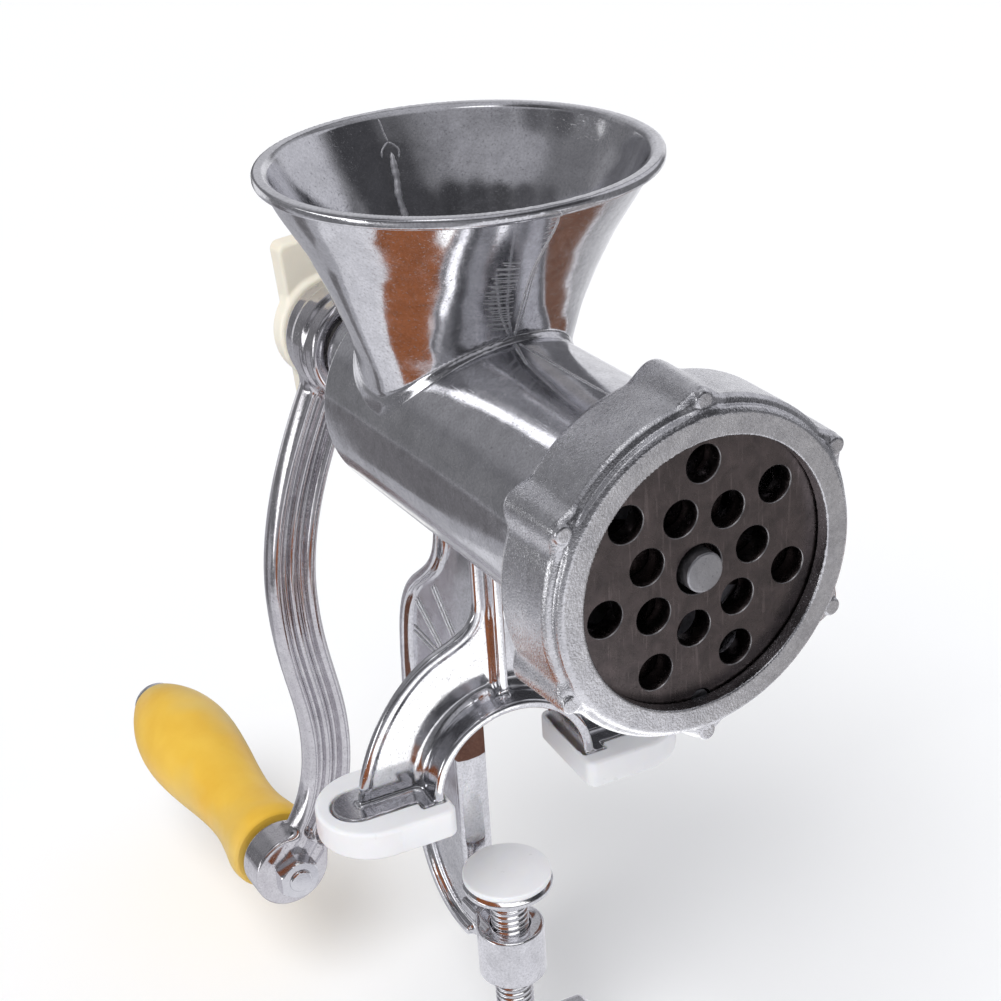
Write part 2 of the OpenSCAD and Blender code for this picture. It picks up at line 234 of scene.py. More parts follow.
# --------------------------------------------------------------- meshing
def new_object(name, co, faces, smooth=True, normals=None):
    """co in millimetres; faces an (n, 3 or 4) array or a list of lists."""
    me = bpy.data.meshes.new(name)
    co = np.asarray(co, float) * 0.001
    me.vertices.add(len(co))
    me.vertices.foreach_set("co", co.astype(np.float32).ravel())
    if isinstance(faces, np.ndarray):
        k = faces.shape[1]
        loops = faces.ravel()
        start = np.arange(len(faces)) * k
    else:
        loops = np.array([i for f in faces for i in f])
        start = np.cumsum([0] + [len(f) for f in faces[:-1]])
    me.loops.add(len(loops))
    me.loops.foreach_set("vertex_index", loops.astype(np.int32))
    me.polygons.add(len(start))
    me.polygons.foreach_set("loop_start", start.astype(np.int32))
    me.update(calc_edges=True)
    me.polygons.foreach_set("use_smooth", np.full(len(start), smooth))
    if normals is not None:
        me.normals_split_custom_set_from_vertices(
            np.asarray(normals, np.float32).tolist())
    me.update()
    ob = bpy.data.objects.new(name, me)
    bpy.context.scene.collection.objects.link(ob)
    return ob


def gradient(f, P, e):
    k = np.array([[1, -1, -1], [-1, -1, 1], [-1, 1, -1], [1, 1, 1]], float)
    g = np.zeros_like(P)
    m = np.zeros(len(P))
    for q in k:
        v = f(P + e * q)
        m += v
        g += v[:, None] * q
    return m / 4, g / (4 * e)


def in_parts(f, P, size=400000):
    return np.concatenate([f(P[i:i + size]) for i in range(0, len(P), size)])


def field_mesh(name, f, lo, hi, h, block=8, lip=1.25, steps=3):
    """The zero surface of f as a closed quad mesh, its points on the surface
    and its normals from the field."""
    lo = np.array(lo, float)
    hi = np.array(hi, float)
    nb = np.ceil((hi - lo) / (h * block)).astype(int)
    bi = np.stack(np.meshgrid(*[np.arange(k) for k in nb], indexing="ij"),
                  -1).reshape(-1, 3)
    cen = lo + (bi + 0.5) * block * h
    d = in_parts(f, cen)
    near = np.abs(d) < block * h * 0.5 * math.sqrt(3) * lip + h
    n = nb * block + 1
    sign = (d < 0).reshape(nb)
    V = np.ones(n, np.float32) * 9
    big = np.where(sign, -9.0, 9.0).astype(np.float32)
    V[:-1, :-1, :-1] = big.repeat(block, 0).repeat(block, 1).repeat(block, 2)
    off = np.stack(np.meshgrid(*[np.arange(block + 1)] * 3, indexing="ij"),
                   -1).reshape(-1, 3)
    todo = bi[near]
    for i in range(0, len(todo), 500):
        b = todo[i:i + 500]
        idx = (b[:, None] * block + off[None]).reshape(-1, 3)
        V[idx[:, 0], idx[:, 1], idx[:, 2]] = f(lo + idx * h)
    S = V < 0
    c = [S[a:n[0] - 1 + a, b:n[1] - 1 + b, e:n[2] - 1 + e]
         for a in (0, 1) for b in (0, 1) for e in (0, 1)]
    some = c[0].copy()
    every = c[0].copy()
    for q in c[1:]:
        some |= q
        every &= q
    cells = np.argwhere(some & ~every)
    ids = np.full(n, -1, np.int32)
    ids[cells[:, 0], cells[:, 1], cells[:, 2]] = np.arange(len(cells))
    corner = np.array([[a, b, e] for a in (0, 1) for b in (0, 1)
                       for e in (0, 1)])
    val = np.stack([V[cells[:, 0] + q[0], cells[:, 1] + q[1],
                      cells[:, 2] + q[2]] for q in corner], 1).astype(float)
    acc = np.zeros((len(cells), 3))
    cnt = np.zeros(len(cells))
    for a in range(8):
        for b in range(a + 1, 8):
            if np.abs(corner[a] - corner[b]).sum() != 1:
                continue
            x = (val[:, a] < 0) != (val[:, b] < 0)
            t = np.where(x, val[:, a] / np.where(x, val[:, a] - val[:, b], 1), 0)
            acc += x[:, None] * (corner[a] + t[:, None] * (corner[b] - corner[a]))
            cnt += x
    P = lo + (cells + acc / cnt[:, None]) * h
    quads = []
    for ax in range(3):
        b, e = [(1, 2), (2, 0), (0, 1)][ax]
        sl0 = [slice(1, n[k] - 1) for k in range(3)]
        sl1 = list(sl0)
        sl0[ax] = slice(0, n[ax] - 1)
        sl1[ax] = slice(1, n[ax])
        s0 = S[tuple(sl0)]
        s1 = S[tuple(sl1)]
        for flip, m in ((False, s0 & ~s1), (True, ~s0 & s1)):
            at = np.argwhere(m)
            base = at + np.array([0 if k == ax else 1 for k in range(3)])
            ub = np.eye(3, dtype=int)[b]
            ue = np.eye(3, dtype=int)[e]
            q = [base - ub - ue, base - ue, base, base - ub]
            q = np.stack([ids[w[:, 0], w[:, 1], w[:, 2]] for w in q], 1)
            quads.append(q[:, ::-1] if flip else q)
    quads = np.concatenate(quads)
    e = 0.12 * h
    for k in range(steps):
        parts = []
        for i in range(0, len(P), 300000):
            q = P[i:i + 300000]
            m, g = gradient(f, q, e)
            gg = np.maximum((g * g).sum(1), 0.05)
            mv = -(m / gg)[:, None] * g
            ln = np.linalg.norm(mv, axis=1)
            mv *= (np.minimum(ln, 0.5 * h) / np.maximum(ln, 1e-9))[:, None]
            parts.append(q + mv * (0.9 if k == 0 else 1.0))
        P = np.concatenate(parts)
    N = np.concatenate([gradient(f, P[i:i + 300000], 0.3 * h)[1]
                        for i in range(0, len(P), 300000)])
    N /= np.maximum(np.linalg.norm(N, axis=1), 1e-9)[:, None]
    say(name, len(quads), "faces")
    return new_object(name, P, quads, True, N)


def lathe(name, prof, seg=96, at=(0, AX), axis="y", cuts=0.35):
    """Revolves (radius, position) points; corners sharper than 30 degrees
    get a small rounded edge, so that they catch the light."""
    pr = [np.array(p, float) for p in prof]
    out = []
    for i, p in enumerate(pr):
        if i in (0, len(pr) - 1) or cuts <= 0:
            out.append(p)
            continue
        a, b = pr[i - 1] - p, pr[i + 1] - p
        la, lb = np.linalg.norm(a), np.linalg.norm(b)
        c = min(cuts, 0.45 * la, 0.45 * lb)
        if la < 1e-6 or lb < 1e-6 or np.dot(a, b) / la / lb < -0.92:
            out.append(p)
            continue
        a0, b0 = p + a / la * c, p + b / lb * c
        for t in (0, 0.25, 0.5, 0.75, 1):
            out.append((1 - t) ** 2 * a0 + 2 * t * (1 - t) * p + t * t * b0)
    co, rings = [], []
    th = np.linspace(0, 2 * math.pi, seg, endpoint=False)
    for p in out:
        if p[0] < 1e-6:
            rings.append([len(co)])
            ring = np.array([[0, 0]])
        else:
            rings.append(list(range(len(co), len(co) + seg)))
            ring = p[0] * np.stack([np.cos(th), np.sin(th)], 1)
        for q in ring:
            co.append((at[0] + q[0], p[1], at[1] + q[1]) if axis == "y"
                      else (at[0] + q[0], at[1] + q[1], p[1]))
    faces = []
    for r0, r1 in zip(rings[:-1], rings[1:]):
        for i in range(seg):
            j = (i + 1) % seg
            if len(r0) == 1 and len(r1) == 1:
                continue
            if len(r0) == 1:
                faces.append([r0[0], r1[j], r1[i]])
            elif len(r1) == 1:
                faces.append([r0[i], r0[j], r1[0]])
            else:
                faces.append([r0[i], r0[j], r1[j], r1[i]])
    if len(rings[0]) > 1 and len(rings[-1]) > 1:
        closed = np.linalg.norm(out[0] - out[-1]) < 1e-6
        if not closed:
            raise ValueError(name + " is open")
        k = rings[-1][0]
        faces = [[v if v < k else v - k for v in f] for f in faces]
        co = co[:k]
    ob = new_object(name, co, faces, True)
    fix_normals(ob)
    return ob


def fix_normals(ob):
    import bmesh
    bm = bmesh.new()
    bm.from_mesh(ob.data)
    bmesh.ops.recalc_face_normals(bm, faces=bm.faces)
    bm.to_mesh(ob.data)
    bm.free()


def weighted(ob, width=0.0, seg=2, angle=35):
    if width:
        m = ob.modifiers.new("edge", "BEVEL")
        m.width = width * 0.001
        m.segments = seg
        m.limit_method = "ANGLE"
        m.angle_limit = math.radians(angle)
        m.harden_normals = False
    m = ob.modifiers.new("normals", "WEIGHTED_NORMAL")
    m.keep_sharp = True
    m.weight = 80
    return ob


# --------------------------------------------------------------- castings
LEVELS = np.array([
    [0, 50.6, 50.6, 50.6, 2], [8.4, 47.4, 44.7, 45.6, 2],
    [20.4, 40.6, 36.0, 38.8, 2], [31.7, 36.1, 28.5, 33.5, 2],
    [42.6, 32.0, 22.9, 30.2, 2.1], [52.6, 28.6, 21.0, 28.6, 2.5],
    [60.6, 27.5, 17.4, 27.6, 2.8], [68, 27.0, 15.0, 27, 3.1]])
RIM = 190.6


def smooth_levels():
    """The hopper's half widths against height, as smooth curves."""
    d = np.linspace(0, 68, 409)
    out = [d]
    for k in range(1, 5):
        v = np.interp(d, LEVELS[:, 0], LEVELS[:, k])
        for _ in range(260):
            m = v.copy()
            v[1:-1] = 0.25 * m[:-2] + 0.5 * m[1:-1] + 0.25 * m[2:]
        out.append(v)
    return out


HL = smooth_levels()


def hop_g(x, y, z):
    dr = np.clip(RIM - z, 0, 68)
    ax = np.interp(dr, HL[0], HL[1])
    fr = np.interp(dr, HL[0], HL[2])
    rr = np.interp(dr, HL[0], HL[3])
    nn = np.interp(dr, HL[0], HL[4])
    back = y > HY
    b = np.where(back, rr, fr)
    m = np.where(back, nn, 2.0)
    u = np.abs(x) / ax
    v = np.abs(y - HY) / b
    um = np.power(u + 1e-9, m)
    vm = np.power(v + 1e-9, m)
    G = np.power(um + vm, 1 / m)
    q = np.power(G, 1 - m)
    gx = q * um / (u + 1e-9) / ax
    gy = q * vm / (v + 1e-9) / b
    return G, gx, gy


def hop_d(P):
    x, y, z = P[:, 0], P[:, 1], P[:, 2]
    G, gx, gy = hop_g(x, y, z)
    G1 = hop_g(x, y, z + 0.5)[0]
    G0 = hop_g(x, y, z - 0.5)[0]
    gz = G1 - G0
    return (G - 1) / np.sqrt(gx * gx + gy * gy + gz * gz + 1e-6)


LEG_EDGE = np.concatenate([
    [[5, AX]], bez([5, 64], [5, 54], [12, 53.5], [20, 49.5], 30),
    bez([20, 49.5], [31.5, 43.5], [42.5, 27], [44.6, 9], 40)[1:],
    [[44.6, 6], [-1, 6], [-1, AX]]])
C_BACK = np.concatenate([
    [[3, 91]], bez([4.5, 80], [5.5, 68], [9, 64.5], [19, 56.5], 24),
    bez([19, 56.5], [32, 46.5], [33.5, 34], [34.5, 18], 30)[1:],
    bez([36, 0], [37.5, -30], [37, -70], [4, -69], 50)])
C_FRONT = np.concatenate([
    [[0, 29.5], [0, -46]], bez([0, -46], [-0.3, -50.5], [-2, -52],
                             [-6, -52], 12)[1:]])
COL_POLY = np.concatenate([[[-15, 91]], C_BACK, [[-17, -69], [-17, -52]],
                           C_FRONT[::-1], [[-4, 34.8], [-15, 34.8]]])
BACK_MID = shifted(C_BACK, -1.6)
if BACK_MID[60, 0] > C_BACK[60, 0]:
    BACK_MID = shifted(C_BACK, 1.6)

T_LEG = Tab(lambda u, v: poly2(u, v, LEG_EDGE), (-4, -4), (56, 122), 0.4)
T_COL = Tab(lambda u, v: poly2(u, v, COL_POLY), (-30, -82), (50, 104), 0.4)
T_BACK = Tab(lambda u, v: line2(u, v, BACK_MID), (-30, -82), (50, 104), 0.4)

SK = math.radians(-4.5)


def unskew(P):
    c, s = math.cos(-SK), math.sin(-SK)
    Q = P.copy()
    x, y = P[:, 0], P[:, 1] + 17
    Q[:, 0] = c * x - s * y
    Q[:, 1] = s * x + c * y - 17
    return Q


def leg_field(P):
    Q = unskew(P)
    x, y, z = np.abs(Q[:, 0]), Q[:, 1], Q[:, 2]
    ra = np.hypot(x, z - 8.3)
    out = T_LEG(x, z)
    t = smax(out, 23.4 - ra, 0.3)
    web = smax(t, np.abs(y + 17.6) - 1.3, 0.6)
    rim = smax(np.abs(out + 1.25) - 1.2, np.abs(y + 17.9) - 1.5, 1.0)
    rim = smax(smax(rim, 23.4 - ra, 0.3), 14 - z, 0.4)
    web = smin(web, rim, 0.9)
    fl = box2(ra - 24.25, y + 16.3, 1.45, 12.3, 1.1)
    fl = np.maximum(fl, 6.0 - z)
    d = smin(web, fl, 3.2)
    rib = box2(x, y + 20.5, 1.5, 3.6, 0.9)
    rib = smax(rib, 30 - z, 0.5)
    d = smin(d, rib, 2.0)
    foot = np.minimum(np.hypot(x - 45, y + 17.5) - 7.5,
                      box2(x - 33.7, y + 17.5, 11.3, 7.5, 0.4))
    foot = np.minimum(foot, box2(x - 25.9, y + 16.3, 3.5, 12.3, 1.0))
    foot = smax(foot, np.abs(z - 7.5) - 1.5, 0.5)
    d = smin(d, foot, 1.2)
    return np.maximum(d, 22.8 - ra)


def column_field(P):
    x, y, z = np.abs(P[:, 0]), P[:, 1], P[:, 2]
    web = smax(T_COL(y, z), x - 2.4, 0.8)
    bk = T_BACK(y, z)
    fl = smax(bk - 1.55, x - 5, 1.0)
    fl = np.maximum(fl, z - 91)
    d = smin(web, fl, 2.0)
    ff = box2(y - 1.6, z + 8.25, 1.6, 37.75, 0.8)
    ff = smax(ff, x - 5, 1.0)
    d = smin(d, ff, 2.0)
    bt = smax(box2(y + 7.5, z + 54, 9.5, 2, 0.8), x - 7, 1.0)
    d = smin(d, bt, 2.5)
    boss = tube(np.hypot(P[:, 0], y + 17), z, 10.5, -70, -52, 1.0)
    return smin(d, boss, 2.5)


def thread(r, y, th, pitch, depth):
    ph = (y / pitch + th / (2 * math.pi)) % 1.0
    return depth * (0.5 - 0.5 * np.cos(2 * math.pi * ph))


def housing(P):
    x, y, z = P[:, 0], P[:, 1], P[:, 2]
    zz = z - AX
    r = np.hypot(x, zz)
    th = np.arctan2(zz, x)
    b = tube(r, y, 30.5, -116, 14, 1.2)
    cr = 37.85 - thread(r, y, -th, 3.0, 0.7)
    c = tube(r, y, cr, -117.5, -99, 0.7)
    d = smin(b, c, 5.0)
    hd = hop_d(P)
    ho = smax(hd, z - (RIM - 0.6), 0.5)
    ho = np.maximum(ho, 121 - z)
    d = smin(d, ho, 1.9)
    j = np.maximum(np.hypot(r - 30.5, hd) - 1.05, 119 - z)
    d = smin(d, j, 0.7)
    d = smax(d, np.minimum(y - 14, 138 - z), 1.2)
    s = tube(r, y, 14, 8, 46, 1.0)
    d = smin(d, s, 4.0)
    rr = np.hypot(x, y - HY)
    bead = box2(rr - 50.15, z - (RIM - 1.5), 1.65, 1.5, 1.05)
    d = smin(d, bead, 0.7)
    leg = boxed(P, (-50, -45, -4), (50, 10, 96), leg_field)
    d = smin(d, np.where(z < AX, leg, 50), 2.2)
    col = boxed(P, (-12, -32, -72), (12, 40, 96), column_field)
    d = smin(d, np.where(z < AX, col, 50), 1.8)
    cav = tube(r, y, 27, -108, 10, 1.5)
    hi = np.maximum(hd + 2.2, 122 - z)
    cav = smin(cav, hi, 1.6)
    cav = smin(cav, tube(r, y, 33.2, -114, -103.8, 0.5), 0.4)
    cav = smin(cav, tube(r, y, 35.35, -130, -111.7, 0.3), 0.3)
    cav = np.minimum(cav, tube(r, y, 11.52, 0, 60, 0.1))
    cav = np.minimum(cav, tube(np.hypot(x, y + 17), z, 6.1, -80, -45, 0.1))
    d = smax(d, -cav, 0.7)
    return np.maximum(d, z - (RIM - 0.03))


H = 0.62
house = field_mesh("casting", housing, (-53.2, -118.5, -71.5),
                   (53.2, 47.5, 192), H)


# ---- thin cords cast or left on the surface: seams, flash, file marks
def curve3(pts, step):
    """Catmull-Rom through 3-D points, evenly spaced."""
    p = np.array(pts, float)
    if len(p) < 3:
        n = max(2, int(np.linalg.norm(p[-1] - p[0]) / step) + 1)
        return p[0] + (p[-1] - p[0]) * np.linspace(0, 1, n)[:, None]
    q = np.concatenate([[2 * p[0] - p[1]], p, [2 * p[-1] - p[-2]]])
    out = []
    for i in range(1, len(q) - 2):
        a, b, c, d = q[i - 1:i + 3]
        for t in np.linspace(0, 1, 12, endpoint=False):
            out.append(0.5 * (2 * b + (c - a) * t
                              + (2 * a - 5 * b + 4 * c - d) * t * t
                              + (3 * b - a - 3 * c + d) * t ** 3))
    out.append(p[-1])
    out = np.array(out)
    s = np.concatenate([[0], np.cumsum(np.linalg.norm(np.diff(out, axis=0),
                                                      axis=1))])
    n = max(3, int(s[-1] / step) + 1)
    t = np.linspace(0, s[-1], n)
    return np.stack([np.interp(t, s, out[:, k]) for k in range(3)], 1)


def cords(name, f, items, seg=10):
    """Tubes laid on the surface of f: (points, radius, rise, roughness)."""
    runs, at = [], [0]
    for pts, r, up, lump in items:
        c = curve3(pts, max(0.16, 0.55 * r))
        runs.append(c)
        at.append(at[-1] + len(c))
    P = np.concatenate(runs)
    for _ in range(5):
        m, g = gradient(f, P, 0.08)
        P = P - (m / np.maximum((g * g).sum(1), 0.2))[:, None] * g
    g = gradient(f, P, 0.3)[1]
    g /= np.linalg.norm(g, axis=1)[:, None]
    co, faces, nor = [], [], []
    ang = np.linspace(0, 2 * math.pi, seg, endpoint=False)
    for (pts, r, up, lump), i0, i1 in zip(items, at[:-1], at[1:]):
        c, nn = P[i0:i1], g[i0:i1]
        k = len(c)
        s = np.concatenate([[0], np.cumsum(np.linalg.norm(np.diff(c, axis=0),
                                                          axis=1))])
        wob = 1 + lump * (np.sin(s * 5.1 + i0) + np.sin(s * 8.7 + 1.3 * i0)
                          + np.sin(s * 2.3)) / 3
        end = np.minimum(s, s[-1] - s)
        rr = r * wob * np.sqrt(np.clip((end + 0.02) / (2.5 * r), 0.02, 1))
        t = np.gradient(c, axis=0)
        t /= np.linalg.norm(t, axis=1)[:, None]
        b = np.cross(t, nn)
        b /= np.linalg.norm(b, axis=1)[:, None]
        cen = c + nn * (up * wob * np.clip(end / (1.5 * r), 0, 1) - rr)[:, None]
        base = len(co)
        for a in range(k):
            d = np.cos(ang)[:, None] * b[a] + np.sin(ang)[:, None] * nn[a]
            co.extend(cen[a] + rr[a] * d)
            nor.extend(d)
        for a in range(k - 1):
            for q in range(seg):
                w = (q + 1) % seg
                faces.append([base + a * seg + q, base + (a + 1) * seg + q,
                              base + (a + 1) * seg + w, base + a * seg + w])
        faces.append([base + q for q in range(seg)])
        faces.append([base + (k - 1) * seg + q for q in range(seg)][::-1])
    ob = new_object(name, co, faces)
    fix_normals(ob)
    say(name, len(faces), "faces")
    return ob


SEAM = [(-2.3, -68.7, 189.2), (-0.3, -64, 185.5), (-0.1, -61.6, 182.1),
        (-0.5, -58.9, 178.3), (-0.9, -56.1, 174.4), (-1.1, -53.9, 171.4),
        (-1.1, -51.7, 168.2), (-0.9, -49.1, 164.4), (-0.4, -46.5, 160.4),
        (-0.3, -44, 156), (-0.2, -42.1, 152.2), (-0.2, -40.7, 148.8)]
SEAM_B = [(-0.4, -53.5, 170.9), (-0.2, -50.5, 166.4), (0.4, -47.2, 161.5),
          (0.7, -44.3, 156.6), (0.7, -42.1, 152.2)]
REAR_A = [(1.7, 30.2, 189.2), (1.9, 29.2, 187.5), (2, 28, 185.5),
          (2.4, 26.8, 183.5)]
REAR_L = [(2.4, 26.8, 183.5), (0.8, 26.3, 182.5), (-0.2, 25.7, 181.5),
          (-0.7, 24.9, 180.1)]
REAR_R = [(2.4, 26.8, 183.5), (3.8, 26.1, 182.5), (4.7, 25.3, 181.2),
          (4.1, 24.3, 179.3)]
REAR_RIB = [(2.4, 25.4, 181), (2.2, 24.3, 179.1), (1.9, 22.9, 176.7),
            (1.6, 21.6, 174.3), (1, 20.3, 171.9), (0.7, 19.1, 169.5),
            (0.9, 17.6, 166.4), (1.1, 15.6, 161.5), (1.3, 13.4, 155)]
STAR = [(-0.7, -41.4, 147.8), (-1.7, -44.5, 147.5), (-3.4, -49.3, 147.3),
        (-5.1, -54.4, 147.1)]
TOP = [(0, -42, 147.5), (0.1, -55, 147.5), (-0.1, -68, 147.5), (0, -80, 147.5)]
TOP_B = [(0, -79, 147.5), (0.1, -88, 147.5), (0, -97, 147.5)]
CORDS = [(SEAM, 0.42, 0.30, 0.25), (SEAM_B, 0.22, 0.16, 0.3),
         (REAR_A, 0.30, 0.22, 0.1), (REAR_L, 0.32, 0.24, 0.2),
         (REAR_R, 0.32, 0.26, 0.2), (REAR_RIB, 1.15, 0.62, 0.3),
         (STAR, 0.5, 0.2, 0.1), (TOP, 0.55, 0.26, 0.12),
         (TOP_B, 0.3, 0.18, 0.5)]
for x0, y0, z0, x1, y1, z1 in (
        (-6.6, -68.4, 189.3, -2.6, -68.7, 189),
        (-5.8, -68.2, 187.9, -2.2, -68.5, 188),
        (-2.5, -63.5, 184.8, 0.4, -63.6, 185),
        (-2.7, -62.5, 183.4, 0, -62.9, 183.9),
        (-2.7, -61.4, 181.9, 0.1, -61.8, 182.4),
        (-2.3, -60.1, 180, -0.2, -60.8, 181),
        (-2.1, -58.7, 178.1, -0.1, -59.7, 179.4),
        (-1.7, -57.5, 176.5, -0.1, -58.2, 177.3)):
    CORDS.append(([(x0, y0, z0), (x1, y1, z1)], 0.24, 0.17, 0.2))
# file marks on the front of the hopper: left and right ends down the stack
MARK_L = [(174.5, -10.6, -54.9), (172.9, -11.1, -53.6), (168.9, -11.2, -50.8),
          (163.1, -11.6, -46.8), (158.7, -9.3, -44.5), (153.1, -8.0, -41.8)]
MARK_R = [(173.4, -6.4, -54.9), (170.8, -5.4, -53.2), (167.6, -4.4, -51.0),
          (162.6, -4.6, -47.8), (157.8, -3.2, -44.9), (152.0, -2.5, -41.9)]
ML, MR = np.array(MARK_L)[::-1], np.array(MARK_R)[::-1]
for i in range(29):
    z0 = 174.6 - i * 0.78 + 0.22 * math.sin(i * 2.7)
    z1 = z0 - 1.05 + 0.3 * math.sin(i * 4.1 + 1)
    k0, k1 = 0.75 * math.sin(i * 1.9), 0.75 * math.sin(i * 3.3 + 2)
    CORDS.append(([(np.interp(z0, ML[:, 0], ML[:, 1]) + k0,
                    np.interp(z0, ML[:, 0], ML[:, 2]), z0),
                   (np.interp(z1, MR[:, 0], MR[:, 1]) + k1,
                    np.interp(z1, MR[:, 0], MR[:, 2]), z1)],
                  0.2, 0.14, 0.3))
for a, b in (((24.5, 44.7), (9.4, 33.8)), ((12.6, 54.5), (1.3, 42.1)),
             ((28.1, 32.7), (12.2, 31.1))):
    for k in (-1, 1):
        n = np.array([-(b[1] - a[1]), b[0] - a[0]], float)
        n = n / np.linalg.norm(n) * k
        p0, p1 = np.array(a) + n, np.array(b) + n
        for sx in (-2.4, 2.4):
            CORDS.append(([(sx, p0[0], p0[1]), (sx, p1[0], p1[1])],
                          0.5, 0.42, 0.05))
marks = cords("casting_seams", housing, CORDS)


RING_POLY = [(33.4, 0), (38.9, 0), (40.0, 0.9), (40.0, 2.3), (41.3, 2.8),
             (42, 3.9), (42.3, 20), (41.4, 22), (38.15, 22), (38.15, 3.8),
             (33.4, 3.8)]
T_RING = Tab(lambda u, v: poly2(u, v, RING_POLY), (26, -6), (52, 28), 0.12,
             blur=0.2)


def ring_field(P):
    x, y, zz = P[:, 0], P[:, 1] - FRONT, P[:, 2] - AX
    r = np.hypot(x, zz)
    d = T_RING(r, y)
    th = np.degrees(np.arctan2(zz, x))
    t = np.radians((th - 90 + 30) % 60 - 30)
    u, v = r * np.cos(t), r * np.sin(t)
    s = np.clip((y - 3) / 19, 0, 1)
    lr = 3.3 + 0.8 * s
    lug = np.hypot(u - (41.3 + 0.1 * s), v) - lr
    lug = smax(lug, np.abs(y - 12.4) - 9.4, 1.0)
    d = smin(d, np.maximum(lug, 38.5 - r), 3.6)
    pin = tube(np.hypot(u - 42.3, v), y, 2.3, 1.3, 9, 0.7)
    d = smin(d, pin, 0.5)
    d = smax(d, -tube(r, y, 38.15, 3.8, 40, 0.2), 0.3)
    return np.maximum(d, 0.02 - y)


ring = field_mesh("ring_nut_cast", ring_field, (-48.5, -122.6, AX - 48.5),
                  (48.5, -99.4, AX + 48.5), 0.5)

ARM = np.concatenate([
    bez([-1, AX - 2], [-12, 94], [-27, 66], [-27, 36], 40),
    bez([-27, 36], [-27, 10], [-21, 0], [-21.4, -20], 24)[1:],
    bez([-21.4, -20], [-21.8, -36], [-26, -50], [GX, GZ], 24)[1:]])
T_ARM = Tab(lambda u, v: line2(u, v, ARM), (-66, -90), (30, 146), 0.4)


def arm_field(P):
    x, y, z = P[:, 0], P[:, 1], P[:, 2]
    o = T_ARM(x, z)
    web = box2(o, y - 63, 6.6, 1.7, 0.8)
    k = np.hypot((o - 5.7) / 2.4, (y - 62.5) / 4.5) + 1e-6
    rail = k * (k - 1) / (np.hypot((o - 5.7) / 5.76, (y - 62.5) / 20.25) + 1e-6)
    mid = box2(o, y - 62.6, 1.5, 3.1, 1.45)
    d = smin(web, rail, 0.7)
    d = smin(d, mid, 1.0)
    r = np.hypot(x, z - AX)
    hub = tube(r, y, 17.3, 48, 68, 1.6)
    hub = smin(hub, tube(r, y, 18, 54.5, 61.5, 1.2), 1.5)
    d = smin(d, hub, 3.0)
    boss = tube(np.hypot(x - GX, z - GZ), y, 13, 58, 70, 1.2)
    d = smin(d, boss, 2.5)
    hole = np.maximum(np.abs(x), np.abs(z - AX)) - 6.55
    hole2 = np.hypot(x - GX, z - GZ) - 4.06
    d = smax(d, -hole, 0.4)
    return smax(d, -hole2, 0.4)


arm = field_mesh("crank_arm_cast", arm_field, (-57.5, 47.4, -77.5),
                 (19.5, 70.6, 136.5), 0.55)


def knob_field(P):
    x, y, z = P[:, 0], P[:, 1], P[:, 2] - AX
    y0 = 70.1
    d = tube(np.hypot(x, z), y, 17.2, y0, y0 + 7, 1.4)
    a = math.radians(-4)
    u = math.cos(a) * x - math.sin(a) * z
    v = math.sin(a) * x + math.cos(a) * z
    w = np.abs(v) - 29.4
    k = box2(u, v, 12.5, 29.4, 2.6)
    hollow = box2(u, v, 9.6, 26.6, 2.0)
    wing = smax(k, np.abs(y - y0 - 5.25) - 3.75, 1.2)
    dish = smax(hollow, (y0 + 8.0) - y, 0.6)
    wing = smax(wing, -dish, 0.6)
    d = smin(d, wing, 1.2)
    hole = tube(np.hypot(x, z), y, 4.02, y0 - 2, y0 + 6, 0.1)
    return smax(d, -hole, 0.3)


knob = field_mesh("thumb_knob_moulded", knob_field, (-20, 69.5, AX - 31),
                  (20, 79.8, AX + 31), 0.5)


def pad_field_for(s):
    def f(P):
        Q = unskew(P)
        x, y, z = s * Q[:, 0], Q[:, 1], Q[:, 2]
        out = np.minimum(np.hypot(x - 40.5, y + 17.5) - 16.48,
                         box2(x - 31, y + 17.5, 10, 16.5, 3.0))
        d = smax(out, np.abs(z - 4.5) - 4.5, 1.1)
        pk = np.minimum(np.hypot(x - 45, y + 17.5) - 8,
                        box2(x - 33.55, y + 17.5, 11.45, 8, 0.3))
        pk = smin(pk, box2(x - 25.9, y + 16.3, 3.8, 12.6, 0.8), 0.8)
        pk = np.maximum(pk, 6.02 - z)
        return smax(d, -pk, 0.5)
    return f


padl = field_mesh("pad_left", pad_field_for(-1), (-60, -38, -0.6),
                  (-18, 3, 9.6), 0.5)
padr = field_mesh("pad_right", pad_field_for(1), (18, -40, -0.6),
                  (60, 4, 9.6), 0.5)


def wing_field(P):
    x, y, z = P[:, 0], P[:, 1] + 17, P[:, 2]
    r = np.hypot(x, y)
    d = tube(r, z, 9.5, -117, -97, 1.2)
    o = T_WING(np.abs(x), z)
    w = smax(o, np.abs(y) - 2.9, 1.2)
    d = smin(d, w, 3.0)
    d = smax(d, -116.98 - z, 0.7)
    d = smax(d, -tube(r, z, 6.05, -110, -80, 0.1), 0.3)
    hole = tube(np.hypot(x, z + 106), y, 1.52, -30, 30, 0.1)
    return smax(d, -hole, 0.2)


W_POLY = [(0, -98), (9, -98), (17, -94), (25, -94.5), (28, -99), (27, -106),
          (19, -113), (8, -117), (0, -117), (-4, -117), (-4, -98)]
T_WING = Tab(lambda u, v: poly2(u, v, W_POLY), (-3.5, -122), (34, -88), 0.3,
             blur=0.8)
wing = field_mesh("clamp_wing_cast", wing_field, (-29, -27.5, -117.6),
                  (29, -6.5, -92.5), 0.55)


